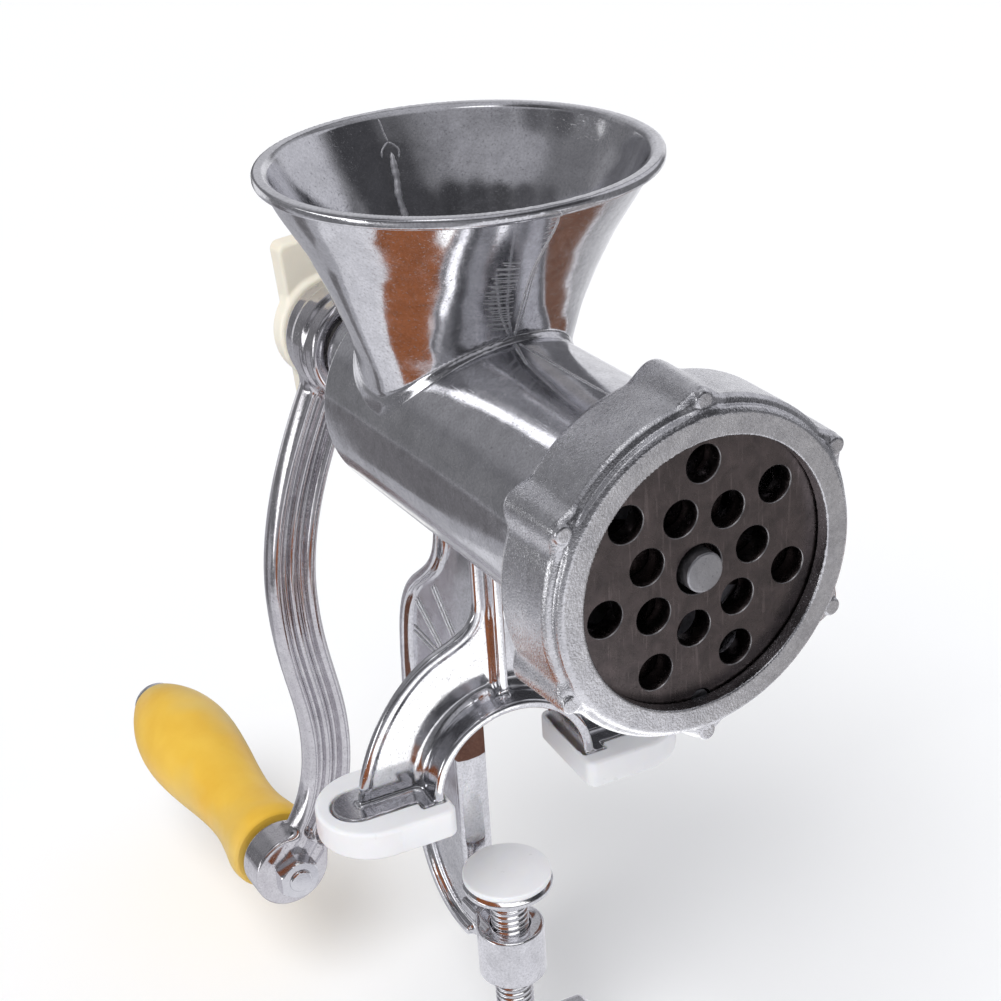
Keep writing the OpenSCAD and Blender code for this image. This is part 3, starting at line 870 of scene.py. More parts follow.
# ---- perforated plate: exact round holes with a small chamfer
def holed_disc(name, y0, y1, rad, holes, notch, ch=0.22):
    def circ(cx, cz, r, n):
        t = np.linspace(0, 2 * math.pi, n, endpoint=False)
        return np.stack([cx + r * np.cos(t), cz + r * np.sin(t)], 1)

    def outline(grow):
        """The rim with its round notch at the bottom."""
        R, rn = rad + grow, notch - grow
        a = math.acos((R * R + rad * rad - rn * rn) / (2 * R * rad))
        t = np.linspace(-math.pi / 2 + a, 1.5 * math.pi - a, 181)
        big = np.stack([R * np.cos(t), R * np.sin(t)], 1)
        p0, p1 = big[-1], big[0]
        c = np.array([0, -rad])
        t0 = math.atan2(*(p0 - c)[::-1])
        t1 = math.atan2(*(p1 - c)[::-1])
        if t0 < t1:
            t0 += 2 * math.pi
        tt = np.linspace(t0, t1, 25)[1:-1]
        sm = c + rn * np.stack([np.cos(tt), np.sin(tt)], 1)
        return np.concatenate([big, sm])

    loops = [outline(-ch)] + [circ(cx, cz, r + ch, 72) for cx, cz, r in holes]
    inner = [outline(0)] + [circ(cx, cz, r, 72) for cx, cz, r in holes]
    flat = np.concatenate(loops)
    start = np.cumsum([0] + [len(q) for q in loops])
    edges = []
    for k, q in enumerate(loops):
        edges += [(start[k] + i, start[k] + (i + 1) % len(q))
                  for i in range(len(q))]
    res = delaunay_2d_cdt([tuple(p) for p in flat], edges, [], 0, 1e-6, True)
    vs = np.array([tuple(v) for v in res[0]])
    orig = res[3]
    tri = []
    for f in res[2]:
        c = vs[list(f)].mean(0)
        if any(np.hypot(c[0] - h[0], c[1] - h[1]) < h[2] + ch - 0.01
               for h in holes):
            continue
        if np.hypot(*c) > rad or np.hypot(c[0], c[1] + rad) < notch + ch * 0.5:
            continue
        tri.append([orig[i][0] for i in f])
    n = len(flat)
    ins = np.concatenate(inner)

    def lay(p, y):
        return np.stack([p[:, 0], np.full(len(p), y), AX + p[:, 1]], 1)

    co = np.concatenate([lay(flat, y0), lay(ins, y0 + ch),
                         lay(ins, y1 - ch), lay(flat, y1)])
    faces = [list(t) for t in tri] + [[3 * n + i for i in t[::-1]] for t in tri]
    sm = [False] * len(faces)
    for lev in range(3):
        for i, j in edges:
            faces.append([lev * n + i, lev * n + j, (lev + 1) * n + j,
                          (lev + 1) * n + i])
            sm.append(True)
    ob = new_object(name, co, faces, True)
    fix_normals(ob)
    ob.data.polygons.foreach_set("use_smooth", np.array(sm))
    for e in ob.data.edges:
        a, b = (ob.data.vertices[k].co.y for k in e.vertices)
        ends = [abs(a * 1000 - q) < 1e-3 and abs(b * 1000 - q) < 1e-3
                for q in (y0, y1)]
        if any(ends):
            e.use_edge_sharp = True
    ob.data.update()
    return ob


PLATE_Y = FRONT + 4.1
HOLES = [(0, 0, 6.2)]
for i in range(7):
    a = math.radians(87 + 360 * i / 7)
    HOLES.append((25.95 * math.cos(a), 25.95 * math.sin(a), 4.55))
for i in range(7):
    a = math.radians(109.2 + 360 * i / 7)
    HOLES.append((14.97 * math.cos(a), 14.97 * math.sin(a), 4.55))
plate = holed_disc("plate_steel", PLATE_Y, PLATE_Y + 6, 34.97, HOLES, 3.1)

# ---- turned and lofted pieces
PY = PLATE_Y
pin = lathe("drive_pin_turned", [(0, PY - 2.3), (4.95, PY - 2.3), (4.95, PY + 6.3),
                                 (0, PY + 6.3)], 72, cuts=0.55)



def square_bar(name, half, y0, y1, cham, at):
    """Square bar with chamfered long edges and ends."""
    def ring(h, c):
        return [(h, -h + c), (h, h - c), (h - c, h), (-h + c, h), (-h, h - c),
                (-h, -h + c), (-h + c, -h), (h - c, -h)]
    rows = [(ring(half - cham, cham), y0), (ring(half, cham), y0 + cham),
            (ring(half, cham), y1 - cham), (ring(half - cham, cham), y1)]
    co = [(at[0] + p[0], y, at[1] + p[1]) for r, y in rows for p in r]
    faces = [[i * 8 + k, i * 8 + (k + 1) % 8, (i + 1) * 8 + (k + 1) % 8,
              (i + 1) * 8 + k] for i in range(3) for k in range(8)]
    faces += [list(range(8))[::-1], [24 + k for k in range(8)]]
    ob = new_object(name, co, faces, False)
    fix_normals(ob)
    return ob


studsq = square_bar("drive_pin_square", 5.45, PY + 6.3, PY + 13.3, 0.4, (0, AX))
worm_co, worm_f = [], []
wy0, wy1 = -104.6 + 6, -2.0
NR, NO = 150, 120
ang = np.linspace(0, 360, NO, endpoint=False)
outr = []
for a in ang:
    q = (a + 180) % 360 - 180
    t = abs(q)
    if t <= 24:
        outr.append(26.3)
    elif t < 42:
        u = (t - 24) / 18
        outr.append(12 + 14.3 * (1 - u * u * (3 - 2 * u)))
    else:
        outr.append(12.0)
outr = np.array(outr)
for i in range(NR + 1):
    y = wy0 + (wy1 - wy0) * i / NR
    lim = 12.4 + 2.9 * min(i, NR - i)
    tw = -360 * (y - wy0) / 30
    r = np.minimum(outr, lim)
    t = np.radians(ang + tw)
    worm_co += [(r[k] * math.cos(t[k]), y, AX + r[k] * math.sin(t[k]))
                for k in range(NO)]
for i in range(NR):
    for k in range(NO):
        j = (k + 1) % NO
        worm_f.append([i * NO + k, i * NO + j, (i + 1) * NO + j, (i + 1) * NO + k])
worm_f.append(list(range(NO)))
worm_f.append([NR * NO + k for k in range(NO)][::-1])
worm = new_object("worm_flight", worm_co, worm_f)
fix_normals(worm)
for p in worm.data.polygons:
    if len(p.vertices) > 4:
        p.use_smooth = False
worm_a = lathe("worm_nose", [(5, -104.6), (13, -104.6), (13, -97.9),
                             (12.5, -97.0), (5, -97.0), (5, -104.6)], 72)
worm_b = lathe("worm_shaft", [(0, -2.7), (13.4, -2.7), (13.4, 6.2), (9.5, 6.2),
                              (9.5, 46.5), (0, 46.5)], 72, cuts=0.5)

G = [(0, 13.8), (0.006, 14.5), (0.02, 15.0), (0.05, 15.15), (0.1, 14.2),
     (0.16, 13.2), (0.22, 12.7), (0.3, 12.9), (0.4, 14.1), (0.5, 15.7),
     (0.6, 17), (0.68, 17.55), (0.76, 17.2), (0.84, 15.7), (0.91, 13.4),
     (0.96, 11.2), (0.985, 9.9), (1, 8.6)]


def spline(pts, n):
    """Catmull-Rom through pts, by chord length."""
    p = np.array(pts, float)
    t = np.concatenate([[0], np.cumsum(np.linalg.norm(
        np.diff(p * [1, 1], axis=0), axis=1) ** 0.5)])
    out = []
    m = np.zeros_like(p)
    m[1:-1] = (p[2:] - p[:-2]) / (t[2:] - t[:-2])[:, None]
    m[0] = (p[1] - p[0]) / (t[1] - t[0])
    m[-1] = (p[-1] - p[-2]) / (t[-1] - t[-2])
    for i in range(len(p) - 1):
        h = t[i + 1] - t[i]
        for s in np.linspace(0, 1, n, endpoint=False):
            out.append((2 * s ** 3 - 3 * s * s + 1) * p[i]
                       + (s ** 3 - 2 * s * s + s) * h * m[i]
                       + (-2 * s ** 3 + 3 * s * s) * p[i + 1]
                       + (s ** 3 - s * s) * h * m[i + 1])
    out.append(p[-1])
    return np.array(out)


gp = spline([(r, 72 + t * 109.7) for t, r in G], 5)
grip = lathe("grip_moulded", [(4.1, 72.0)] + [tuple(p) for p in gp]
             + [(4.1, 181.7), (4.1, 72.0)], 96, at=(GX, GZ), cuts=0.3)
E = 182.0
bolt = lathe("grip_bolt_turned", [
    (0, 51), (3.4, 51), (4, 51.6), (4, E), (8.55, E), (8.6, E + 0.9),
    (8.35, E + 1.8), (7.8, E + 2.8), (6.9, E + 3.7), (5.8, E + 4.4),
    (4.4, E + 4.95), (2.6, E + 5.35), (0, E + 5.48)], 96, at=(GX, GZ), cuts=0.25)
gwash = lathe("grip_washer_flat", [(4.1, 70), (11, 70), (11, 71.6), (4.1, 71.6),
                                   (4.1, 70)], 72, at=(GX, GZ), cuts=0.3)
kwash = lathe("knob_washer_flat", [(4.3, 68.3), (11, 68.3), (11, 69.8),
                                   (4.3, 69.8), (4.3, 68.3)], 72, cuts=0.3)


def hexnut(name, rad, hole, y0, y1, at):
    """Hexagon nut with chamfered corners."""
    n = 72
    t = np.linspace(0, 2 * math.pi, n, endpoint=False)
    ap = rad * math.cos(math.pi / 6)
    q = (t + math.pi / 6) % (math.pi / 3) - math.pi / 6
    hx = ap / np.cos(q)
    rows = [(np.full(n, hole), y0), (np.minimum(hx, ap * 0.99), y0),
            (np.minimum(hx, ap * 1.07), y0 + 0.35), (hx, y0 + 0.9),
            (hx, y1 - 0.9), (np.minimum(hx, ap * 1.07), y1 - 0.35),
            (np.minimum(hx, ap * 0.99), y1), (np.full(n, hole), y1)]
    co = [(at[0] + r[k] * math.cos(t[k]), y, at[1] + r[k] * math.sin(t[k]))
          for r, y in rows for k in range(n)]
    m = len(rows)
    faces = [[i * n + k, i * n + (k + 1) % n, ((i + 1) % m) * n + (k + 1) % n,
              ((i + 1) % m) * n + k] for i in range(m) for k in range(n)]
    ob = new_object(name, co, faces, False)
    fix_normals(ob)
    return ob


nut = hexnut("grip_nut_hex", 7.5, 4.03, 52, 58, (GX, GZ))

cpad = lathe("clamp_pad_turned", [
    (4.42, -41), (9, -41), (9.3, -39.2), (10.4, -38.1), (14, -36.4), (14, -35.2),
    (12.9, -34), (0, -34), (0, -35.5), (6.3, -35.5), (6.3, -38.4), (4.42, -38.4),
    (4.42, -41)], 96, at=(0, -17), axis="z", cuts=0.4)
ccap = lathe("clamp_pad_cap_moulded", [(0, -34), (13.55, -34), (13.55, -32),
                                       (0, -32)], 96, at=(0, -17), axis="z",
             cuts=0.6)


def screw(name, r0, z0, z1, pitch, depth, at):
    n, per = 48, 8
    rows = int(round((z1 - z0) / pitch * per))
    co = []
    for i in range(rows + 1):
        z = z0 + (z1 - z0) * i / rows
        for k in range(n):
            t = 2 * math.pi * k / n
            ph = (z / pitch - t / (2 * math.pi)) % 1.0
            r = r0 - depth * (0.5 - 0.5 * math.cos(2 * math.pi * ph)) ** 0.7
            e = min(z - z0, z1 - z)
            r = min(r, r0 - depth - 0.3 + e)
            co.append((at[0] + r * math.cos(t), at[1] + r * math.sin(t), z))
    faces = [[i * n + k, i * n + (k + 1) % n, (i + 1) * n + (k + 1) % n,
              (i + 1) * n + k] for i in range(rows) for k in range(n)]
    faces += [list(range(n))[::-1], [rows * n + k for k in range(n)]]
    ob = new_object(name, co, faces)
    for p in ob.data.polygons:
        if len(p.vertices) > 4:
            p.use_smooth = False
    fix_normals(ob)
    return ob


scr = screw("clamp_screw_thread", 6.0, -110, -41.4, 2.0, 0.75, (0, -17))
scn = lathe("clamp_screw_neck", [(0, -42.5), (4.1, -42.5), (4.1, -38.1), (6, -38.1),
                                 (6, -35.8), (0, -35.8)], 64, at=(0, -17),
            axis="z", cuts=0.3)
wpin = lathe("wing_pin_turned", [(0, -26.3), (1.5, -26.3), (1.5, -7.7), (0, -7.7)],
             32, at=(0, -106), cuts=0.3)
say("meshes done")


# --------------------------------------------------------------- materials
def mat(name):
    m = bpy.data.materials.new(name)
    m.use_nodes = True
    nt = m.node_tree
    nt.nodes.clear()
    out = nt.nodes.new("ShaderNodeOutputMaterial")
    bs = nt.nodes.new("ShaderNodeBsdfPrincipled")
    nt.links.new(bs.outputs[0], out.inputs[0])
    co = nt.nodes.new("ShaderNodeTexCoord")
    return m, nt, bs, co


def N(nt, kind, **kw):
    n = nt.nodes.new("ShaderNode" + kind)
    for k, v in kw.items():
        if k.startswith("i_"):
            n.inputs[k[2:]].default_value = v
        else:
            setattr(n, k, v)
    return n


def noise(nt, co, scale, detail=3, rough=0.55, stretch=None, dist=0.0):
    n = N(nt, "TexNoise")
    n.inputs["Scale"].default_value = scale
    n.inputs["Detail"].default_value = detail
    n.inputs["Roughness"].default_value = rough
    n.inputs["Distortion"].default_value = dist
    src = co.outputs["Object"]
    if stretch:
        mp = N(nt, "Mapping")
        mp.inputs["Scale"].default_value = stretch[0]
        mp.inputs["Rotation"].default_value = stretch[1]
        nt.links.new(src, mp.inputs[0])
        src = mp.outputs[0]
    nt.links.new(src, n.inputs["Vector"])
    return n.outputs["Fac"]


def ramp(nt, src, stops):
    r = N(nt, "ValToRGB")
    el = r.color_ramp.elements
    while len(el) < len(stops):
        el.new(0.5)
    for e, (p, c) in zip(el, stops):
        e.position = p
        e.color = (c, c, c, 1) if np.isscalar(c) else (*c, 1)
    nt.links.new(src, r.inputs[0])
    return r.outputs[0]


def math_n(nt, op, a, b=None, c=None):
    m = N(nt, "Math", operation=op)
    for k, v in enumerate((a, b, c)):
        if v is None:
            continue
        if isinstance(v, (int, float)):
            m.inputs[k].default_value = v
        else:
            nt.links.new(v, m.inputs[k])
    return m.outputs[0]


def mapr(nt, src, a, b, lo, hi):
    m = N(nt, "MapRange", clamp=True)
    m.inputs[1].default_value = a
    m.inputs[2].default_value = b
    m.inputs[3].default_value = lo
    m.inputs[4].default_value = hi
    nt.links.new(src, m.inputs[0])
    return m.outputs[0]


def bump(nt, h, dist, strength=1.0, prev=None):
    b = N(nt, "Bump")
    b.inputs["Distance"].default_value = dist
    b.inputs["Strength"].default_value = strength
    nt.links.new(h, b.inputs["Height"])
    if prev is not None:
        nt.links.new(prev, b.inputs["Normal"])
    return b.outputs[0]


def mixc(nt, fac, a, b):
    m = N(nt, "Mix", data_type="RGBA")
    if isinstance(fac, (int, float)):
        m.inputs[0].default_value = fac
    else:
        nt.links.new(fac, m.inputs[0])
    for k, v in ((6, a), (7, b)):
        if isinstance(v, tuple):
            m.inputs[k].default_value = (*v, 1)
        else:
            nt.links.new(v, m.inputs[k])
    return m.outputs[2]


def metal(name, base, dark, r0, r1, wave, peel, grain, pits, scratch=0.0,
          grain_scale=2600, speck=0.0, light=0.0, mottle=0.0, cell=1500):
    """Cast or machined metal: slow waves, a mottled skin, grain and pits."""
    m, nt, bs, co = mat(name)
    big = noise(nt, co, 75, 2, 0.5)
    mid = noise(nt, co, 330, 3, 0.6)
    fine = noise(nt, co, grain_scale, 2, 0.6)
    spot = noise(nt, co, 1500, 2, 0.5)
    pit = ramp(nt, spot, [(0.0, 1.0), (0.27, 1.0), (0.33, 0.0), (1.0, 0.0)])
    mott = noise(nt, co, 160, 4, 0.65, dist=0.6)
    col = mixc(nt, mapr(nt, mott, 0.35, 0.7, 0, 1), dark, base)
    col = mixc(nt, math_n(nt, "MULTIPLY", pit, 0.25), col,
               tuple(0.35 * c for c in base))
    if light:
        s = noise(nt, co, 55, 3, 0.6, stretch=((26, 1, 1.6), (0.2, 0.9, 0.4)))
        s = ramp(nt, s, [(0, 0), (0.6, 0.0), (0.66, 1.0), (1, 1)])
        col = mixc(nt, math_n(nt, "MULTIPLY", s, light), col,
                   tuple(min(1.0, 2.2 * c) for c in base))
    if mottle:
        s = noise(nt, co, cell, 3, 0.7)
        c = noise(nt, co, 105, 5, 0.65, dist=0.8)
        for src, lo, hi, k in ((s, 0.34, 0.62, mottle), (c, 0.36, 0.6, mottle * 0.8)):
            m2 = N(nt, "Mix", data_type="RGBA", blend_type="MULTIPLY")
            m2.inputs[0].default_value = k
            nt.links.new(col, m2.inputs[6])
            nt.links.new(ramp(nt, src, [(lo, 0.45), (hi, 1.0)]), m2.inputs[7])
            col = m2.outputs[2]
    nt.links.new(col, bs.inputs["Base Color"])
    bs.inputs["Metallic"].default_value = 1.0
    rg = math_n(nt, "ADD", mapr(nt, mid, 0.3, 0.75, r0, r1),
                math_n(nt, "MULTIPLY", fine, 0.05))
    if speck:
        q = noise(nt, co, 1050, 2, 0.6)
        q = ramp(nt, q, [(0, 0), (0.60, 0.0), (0.66, 1.0), (1, 1)])
        rg = math_n(nt, "ADD", rg, math_n(nt, "MULTIPLY", q, speck))
    nt.links.new(rg, bs.inputs["Roughness"])
    n = bump(nt, big, wave)
    n = bump(nt, mid, peel, prev=n)
    n = bump(nt, fine, grain, prev=n)
    n = bump(nt, math_n(nt, "MULTIPLY", pit, -1.0), pits, prev=n)
    if scratch:
        s = noise(nt, co, 60, 2, 0.6, stretch=((30, 1.2, 30), (0.3, 0.2, 0.5)))
        s = ramp(nt, s, [(0, 0), (0.66, 0.0), (0.7, 1.0), (1, 1)])
        n = bump(nt, s, scratch, prev=n)
    nt.links.new(n, bs.inputs["Normal"])
    return m


M_HOUSE = metal("cast_aluminium", (0.90, 0.90, 0.925), (0.82, 0.82, 0.85),
                0.06, 0.13, 0.00006, 0.000014, 0.000006, 0.000015, 0.000005,
                speck=0.07, mottle=0.34)
M_MARK = metal("cast_marks", (0.93, 0.93, 0.95), (0.86, 0.86, 0.88),
               0.34, 0.5, 0.00006, 0.00003, 0.00001, 0.00002)
M_RING = metal("cast_ring", (0.95, 0.95, 0.97), (0.82, 0.82, 0.85),
               0.13, 0.24, 0.0001, 0.00008, 0.00013, 0.00008, speck=0.12,
               grain_scale=1900, mottle=0.34, cell=1250)
M_ARM = metal("cast_crank", (0.80, 0.79, 0.81), (0.70, 0.68, 0.71),
              0.08, 0.18, 0.00006, 0.00002, 0.000005, 0.00003, speck=0.1,
              mottle=0.25)
M_WORM = metal("cast_worm", (0.72, 0.72, 0.74), (0.55, 0.55, 0.58),
               0.25, 0.42, 0.0001, 0.00008, 0.00002, 0.00005)
M_TOOL = metal("tool_steel", (0.19, 0.158, 0.155), (0.12, 0.104, 0.102),
               0.20, 0.32, 0.00002, 0.00001, 0.00002, 0.00003, 0.00002,
               speck=0.15, light=0.25)
M_EDGE = metal("tool_steel_edge", (0.62, 0.61, 0.61), (0.45, 0.44, 0.44),
               0.22, 0.34, 0.00002, 0.00001, 0.000008, 0.00002)
M_PIN = metal("steel_pin", (0.58, 0.58, 0.60), (0.42, 0.42, 0.44),
              0.25, 0.4, 0.00003, 0.00005, 0.00006, 0.00012, speck=0.3)
M_PLATED = metal("plated_steel", (0.80, 0.80, 0.82), (0.72, 0.72, 0.75),
                 0.10, 0.2, 0.00003, 0.00002, 0.000004, 0.00002)


def plastic(name, c0, c1, rough, coat, bumpd, sss=0.0, blotch=None, scale=40):
    m, nt, bs, co = mat(name)
    a = noise(nt, co, scale, 4, 0.55, dist=0.3)
    col = mixc(nt, mapr(nt, a, 0.35, 0.68, 0, 1), c0, c1)
    if blotch:
        b = noise(nt, co, scale * 0.45, 3, 0.5)
        col = mixc(nt, mapr(nt, b, 0.52, 0.70, 0, 0.65), col, blotch)
    nt.links.new(col, bs.inputs["Base Color"])
    r = noise(nt, co, 260, 3, 0.6)
    nt.links.new(mapr(nt, r, 0.3, 0.7, rough - 0.05, rough + 0.07),
                 bs.inputs["Roughness"])
    bs.inputs["Coat Weight"].default_value = coat
    bs.inputs["Coat Roughness"].default_value = 0.2
    if sss:
        bs.inputs["Subsurface Weight"].default_value = sss
        bs.inputs["Subsurface Radius"].default_value = (0.004, 0.003, 0.002)
        bs.inputs["Subsurface Scale"].default_value = 0.6
    n = bump(nt, noise(nt, co, 120, 2, 0.5), bumpd * 4)
    n = bump(nt, noise(nt, co, 1400, 2, 0.5), bumpd, prev=n)
    nt.links.new(n, bs.inputs["Normal"])
    return m


M_WHITE = plastic("white_plastic", (0.86, 0.86, 0.87), (0.80, 0.80, 0.82),
                  0.32, 0.15, 0.00001, 0.25)
M_BUSH = plastic("bush_plastic", (0.80, 0.78, 0.72), (0.74, 0.72, 0.66),
                 0.4, 0.0, 0.00001)
M_IVORY = plastic("ivory_plastic", (0.90, 0.85, 0.73), (0.86, 0.80, 0.67),
                  0.35, 0.1, 0.00001, 0.2)
M_GRIP = plastic("yellow_plastic", (0.80, 0.50, 0.055), (0.74, 0.43, 0.035),
                 0.42, 0.1, 0.00001, 0.1, blotch=(0.66, 0.50, 0.16), scale=45)

PIECES = [
    (house, "housing", ("barrel", "hopper", "leg_arch", "clamp_frame"),
     "cast_housing", M_HOUSE),
    (marks, "housing", (), "cast_housing", M_MARK),
    (ring, "ring", ("ring_nut",), "cast_ring", M_RING),
    (arm, "crank", ("crank_arm",), "cast_crank", M_ARM),
    (knob, "thumb_knob", ("thumb_knob",), "ivory_plastic", M_IVORY),
    (padl, "housing", ("left_foot_pad",), "white_plastic", M_WHITE),
    (padr, "housing", ("right_foot_pad",), "white_plastic", M_WHITE),
    (wing, "clamp_screw", ("clamp_wing",), "cast_housing", M_HOUSE),
    (plate, "plate", ("perforated_plate",), "tool_steel", M_TOOL),
    (pin, "crank", ("drive_stud",), "steel_pin", M_PIN),
    (studsq, "crank", (), "steel_pin", M_PIN),
    (worm, "crank", ("worm",), "cast_worm", M_WORM),
    (worm_a, "crank", (), "cast_worm", M_WORM),
    (worm_b, "crank", (), "cast_worm", M_WORM),
    (grip, "grip", ("grip",), "yellow_plastic", M_GRIP),
    (bolt, "crank", ("grip_bolt",), "plated_steel", M_PLATED),
    (gwash, "crank", ("grip_washer",), "plated_steel", M_PLATED),
    (nut, "crank", ("grip_nut",), "plated_steel", M_PLATED),
    (kwash, "knob_carrier", ("knob_washer",), "plated_steel", M_PLATED),
    (cpad, "clamp_pad", ("clamp_pad",), "cast_housing", M_HOUSE),
    (ccap, "clamp_pad", ("clamp_pad_cap",), "white_plastic", M_WHITE),
    (scr, "clamp_screw", ("clamp_screw",), "plated_steel", M_PLATED),
    (scn, "clamp_screw", (), "plated_steel", M_PLATED),
    (wpin, "clamp_screw", ("wing_pin",), "steel_pin", M_PIN),
]
for ob, body, nodes, slot, m in PIECES:
    ob.data.materials.clear()
    ob.data.materials.append(m)
    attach(ob, body)
    if nodes:
        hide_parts(*nodes)

plate.data.materials.append(M_EDGE)
for q in plate.data.polygons:
    if 0.2 < abs(q.normal.y) < 0.97:
        q.material_index = 1

KEEP = {"plate_key": M_PIN, "rear_bush": M_BUSH,
        "cutter": M_TOOL, "thrust_washer": M_BUSH, "knob_stud": M_PLATED}
for name, m in KEEP.items():
    ob = frame["nodes"][name]
    ob.data.materials.clear()
    ob.data.materials.append(m)
    weighted(ob, 0.2 if name != "cutter" else 0.35)

grip.visible_glossy = False

# --------------------------------------------------------------- stage
floor = new_object("floor", [(-19000, -19000, -118), (19000, -19000, -118),
                             (19000, 19000, -118), (-19000, 19000, -118)],
                   [[0, 1, 2, 3]], False)
mf, nt, bs, co = mat("floor_paper")
nt.links.new(ramp(nt, noise(nt, co, 2, 2), [(0, 0.935), (1, 0.95)]),
             bs.inputs["Base Color"])
bs.inputs["Roughness"].default_value = 0.9
bs.inputs["Specular IOR Level"].default_value = 0.1
floor.data.materials.append(mf)
floor.visible_glossy = False
floor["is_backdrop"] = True


def card(name, pts, z, color, power, seen="glossy"):
    """A reflector card: it shows only in reflections."""
    ob = new_object(name, [(x, y, z) for x, y in pts],
                    [list(range(len(pts)))], False)
    m = bpy.data.materials.new(name)
    m.use_nodes = True
    nt = m.node_tree
    nt.nodes.clear()
    out = nt.nodes.new("ShaderNodeOutputMaterial")
    em = nt.nodes.new("ShaderNodeEmission")
    em.inputs[0].default_value = (*color, 1)
    em.inputs[1].default_value = power
    nt.links.new(em.outputs[0], out.inputs[0])
    ob.data.materials.append(m)
    ob.visible_camera = False
    ob.visible_diffuse = False
    ob.visible_shadow = False
    ob.visible_transmission = False
    ob.visible_volume_scatter = False
    ob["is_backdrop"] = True
    return ob


card("card_paper_front", [(-340, -1500), (620, -1500), (620, 60), (-340, 60)],
     -117.5, (0.80, 0.80, 0.84), 1.0)
card("card_paper_left", [(-340, 60), (-60, 60), (-60, 235), (-340, 235)],
     -117.5, (0.72, 0.72, 0.76), 1.0)
card("card_paper_mid", [(-60, 60), (200, 60), (200, 235), (-60, 235)],
     -117.5, (0.50, 0.50, 0.53), 1.0)
card("card_paper_back", [(-700, 235), (200, 235), (200, 900), (-700, 900)],
     -117.5, (0.42, 0.42, 0.45), 1.0)
card("card_shade_back", [(-640, 860), (-470, 860), (-230, 480), (-110, 345),
                         (-160, 285), (-320, 350), (-520, 560), (-640, 640)],
     -117.3, (0.165, 0.16, 0.17), 1.0)
card("card_paper_spot", [(15, 250), (60, 262), (130, 420), (60, 400)],
     -117.2, (1.0, 1.0, 1.0), 1.0)
for k, (ya, yb, v) in enumerate(((60, 72, 0.28), (72, 95, 0.42), (95, 140, 0.50),
                                 (140, 220, 0.58), (220, 380, 0.70),
                                 (380, 900, 0.86))):
    card("card_paper_right_%d" % k, [(200, ya), (900, ya), (900, yb), (200, yb)],
         -117.4, (v, v, 1.04 * v), 1.0)
BROWN = (0.30, 0.105, 0.045)
card("card_board_left", [(-128, -4), (-120, 5), (-38, 5), (-38, -50),
                         (-42, -61), (-60, -65), (-70, -90), (-96, -130),
                         (-150, -62), (-156, -30)], -0.6, BROWN, 1.0)
card("card_white_front", [(-72, -84), (-42, -62), (-36, -40), (-16, -42),
                          (22, -80), (36, -130), (-40, -130), (-66, -104)],
     -0.5, (1, 1, 1), 1.6)
card("card_board_mid", [(-24, -20), (96, -20), (96, 26), (-24, 26)], -0.6,
     (0.15, 0.075, 0.055), 1.0)
card("card_board_right", [(96, -66), (96, 3), (150, 3), (182, 1), (205, 8),
                          (260, 8), (260, -60), (170, -74), (120, -85)],
     -0.6, (0.18, 0.095, 0.068), 1.0)
card("card_board_front", [(60, -132), (70, -560), (420, -560), (300, -132)],
     -0.8, (0.37, 0.36, 0.365), 1.0)

az, el, roll = [math.radians(v) for v in (-28.964, 26.665, -3.59)]
back = np.array([math.sin(az) * math.cos(el), -math.cos(az) * math.cos(el),
                 math.sin(el)])
right = np.array([math.cos(az), math.sin(az), 0])
up = np.cross(back, right)
r2 = math.cos(roll) * right + math.sin(roll) * up
u2 = -math.sin(roll) * right + math.cos(roll) * up
C = np.array([-0.21607, -0.41802, 0.32179])
cam = bpy.data.cameras.new("camera")
cam.sensor_width = 36
cam.lens = 1867.44 / 1001 * 36
cam.clip_start = 0.01
cam.clip_end = 20
camo = bpy.data.objects.new("camera", cam)
camo.matrix_world = Matrix(((r2[0], u2[0], back[0], C[0]),
                            (r2[1], u2[1], back[1], C[1]),
                            (r2[2], u2[2], back[2], C[2]), (0, 0, 0, 1)))
bpy.context.scene.collection.objects.link(camo)
bpy.context.scene.camera = camo

world = bpy.data.worlds.new("studio")
world.use_nodes = True
wn = world.node_tree
wn.nodes.clear()
wout = wn.nodes.new("ShaderNodeOutputWorld")
wco = wn.nodes.new("ShaderNodeTexCoord")
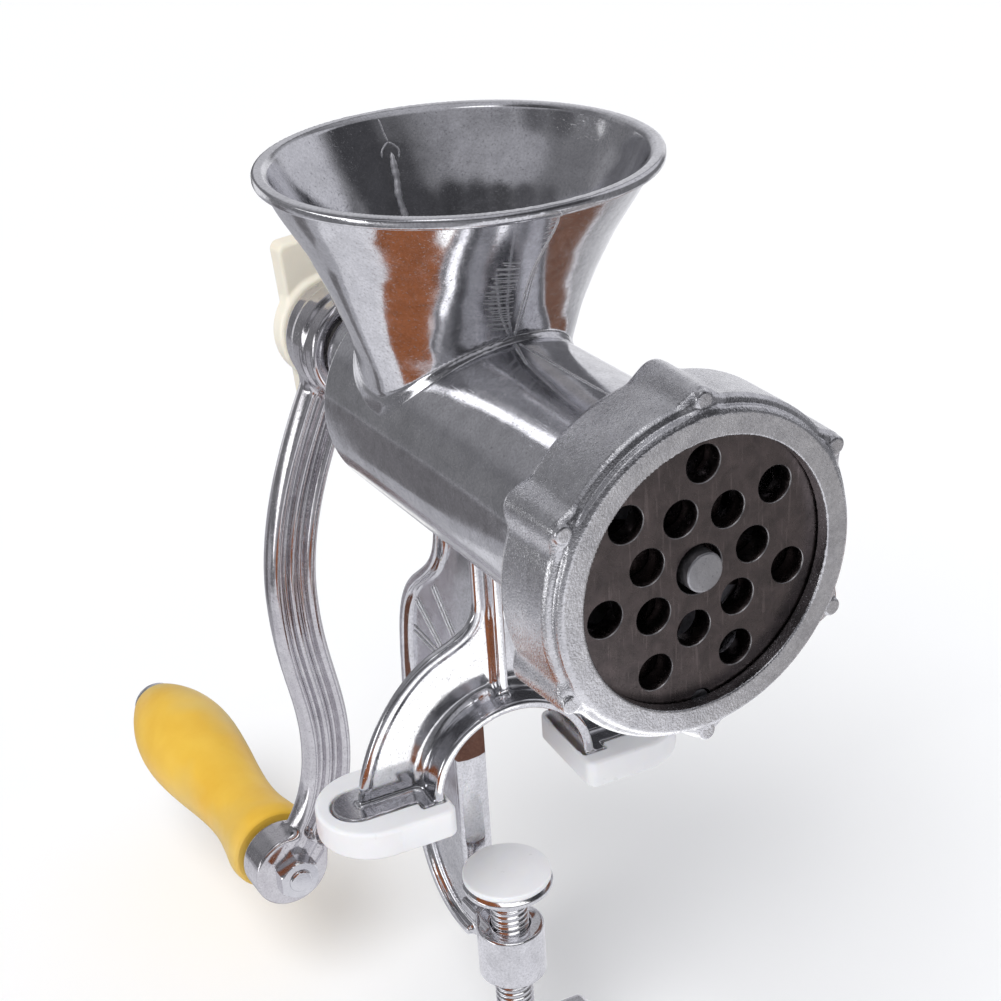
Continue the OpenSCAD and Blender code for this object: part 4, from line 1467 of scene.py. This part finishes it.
# What the metal sees: a grey room with soft panels, by direction.
# Each panel: azimuth (0 towards -Y, 90 towards +X), elevation, inner and
# outer radius in degrees, colour.
PANELS = [
    (-153, 25, 10, 17, (0.27, 0.27, 0.285)),
    (-75, 60, 24, 31, (0.36, 0.36, 0.385)),
    (-30, 66, 23, 30, (0.36, 0.36, 0.385)),
    (-98, 18, 7, 13, (0.10, 0.10, 0.108)),
    (-77, 23, 7, 12, (0.09, 0.09, 0.098)),
    (-56, 26, 7, 12, (0.065, 0.065, 0.07)),
    (-36, 29, 7, 12, (0.06, 0.06, 0.066)),
    (-15, 31, 7, 12, (0.05, 0.05, 0.055)),
    (5, 24, 9, 15, (0.05, 0.05, 0.055)),
    (18, 15, 9, 14, (0.06, 0.06, 0.066)),
    (42, 14, 9, 14, (0.06, 0.06, 0.066)),
    (18, 28, 12, 17, (0.06, 0.06, 0.066)),
    (38, 26, 14, 18, (0.055, 0.055, 0.06)),
    (52, 38, 12, 17, (0.058, 0.058, 0.064)),
    (30, 46, 4, 8, (0.14, 0.14, 0.15)),
    (98, 24, 20, 28, (0.58, 0.58, 0.62)),
    (172, 40, 14, 24, (0.45, 0.45, 0.47)),
    (152, 20, 14, 22, (0.56, 0.56, 0.59)),
    (136, 2, 13, 20, (0.80, 0.80, 0.83)),
    (0, 88, 16, 42, (0.45, 0.45, 0.48)),
    (-55, 76, 6, 11, (1.9, 1.9, 1.92)),
    (-115, 62, 10, 17, (0.07, 0.07, 0.075)),
    (-150, -6, 10, 16, (0.20, 0.20, 0.21)),
    (-172, -10, 11, 16, (0.85, 0.85, 0.88)),
    (-50, -14, 16, 24, (0.30, 0.30, 0.32)),
    (-72, -12, 6, 11, (0.55, 0.55, 0.57)),
    (-130, 9, 2.5, 5, (1.4, 1.4, 1.42)),
    (-119, 7.5, 3.5, 6.5, (2.1, 2.1, 2.13)),
    (-108, 6, 4.5, 8, (2.4, 2.4, 2.44)),
    (-98, 3.5, 6, 10, (2.6, 2.6, 2.65)),
    (-89, -2, 6, 10, (2.6, 2.6, 2.65)),
    (-86, -11, 5, 9, (2.2, 2.2, 2.25)),
]
cur = None
for paz, pel, r_in, r_out, colr in PANELS:
    a, e = math.radians(paz), math.radians(pel)
    d = (math.sin(a) * math.cos(e), -math.cos(a) * math.cos(e), math.sin(e))
    dot = N(wn, "VectorMath", operation="DOT_PRODUCT")
    dot.inputs[1].default_value = d
    wn.links.new(wco.outputs["Generated"], dot.inputs[0])
    f = mapr(wn, dot.outputs["Value"], math.cos(math.radians(r_out)),
             math.cos(math.radians(r_in)), 0, 1)
    cur = mixc(wn, f, (0.185, 0.185, 0.197) if cur is None else cur, colr)
bg_metal = N(wn, "Background")
wn.links.new(cur, bg_metal.inputs[0])
bg_soft = N(wn, "Background")
bg_soft.inputs[0].default_value = (0.955, 0.965, 1.0, 1)
bg_soft.inputs[1].default_value = 0.66
lp = N(wn, "LightPath")
mx = N(wn, "MixShader")
wn.links.new(lp.outputs["Is Glossy Ray"], mx.inputs[0])
wn.links.new(bg_soft.outputs[0], mx.inputs[1])
wn.links.new(bg_metal.outputs[0], mx.inputs[2])
bg_seen = N(wn, "Background")
bg_seen.inputs[0].default_value = (1, 1, 1, 1)
mx2 = N(wn, "MixShader")
wn.links.new(lp.outputs["Is Camera Ray"], mx2.inputs[0])
wn.links.new(mx.outputs[0], mx2.inputs[1])
wn.links.new(bg_seen.outputs[0], mx2.inputs[2])
wn.links.new(mx2.outputs[0], wout.inputs[0])
bpy.context.scene.world = world

sun = bpy.data.lights.new("key_sun", "SUN")
sun.energy = 1.7
sun.angle = math.radians(35)
suno = bpy.data.objects.new("key_sun", sun)
z = np.array([-0.45, -0.35, 0.82])
z = z / np.linalg.norm(z)
x = np.cross([0, 1, 0], z)
x = x / np.linalg.norm(x)
y = np.cross(z, x)
suno.matrix_world = Matrix(((x[0], y[0], z[0], 0), (x[1], y[1], z[1], 0),
                            (x[2], y[2], z[2], 1), (0, 0, 0, 1)))
bpy.context.scene.collection.objects.link(suno)
suno.visible_glossy = False

bpy.context.scene.view_settings.view_transform = "Standard"

lo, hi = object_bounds()
say("box", [round(v * 1000, 1) for v in lo], [round(v * 1000, 1) for v in hi])
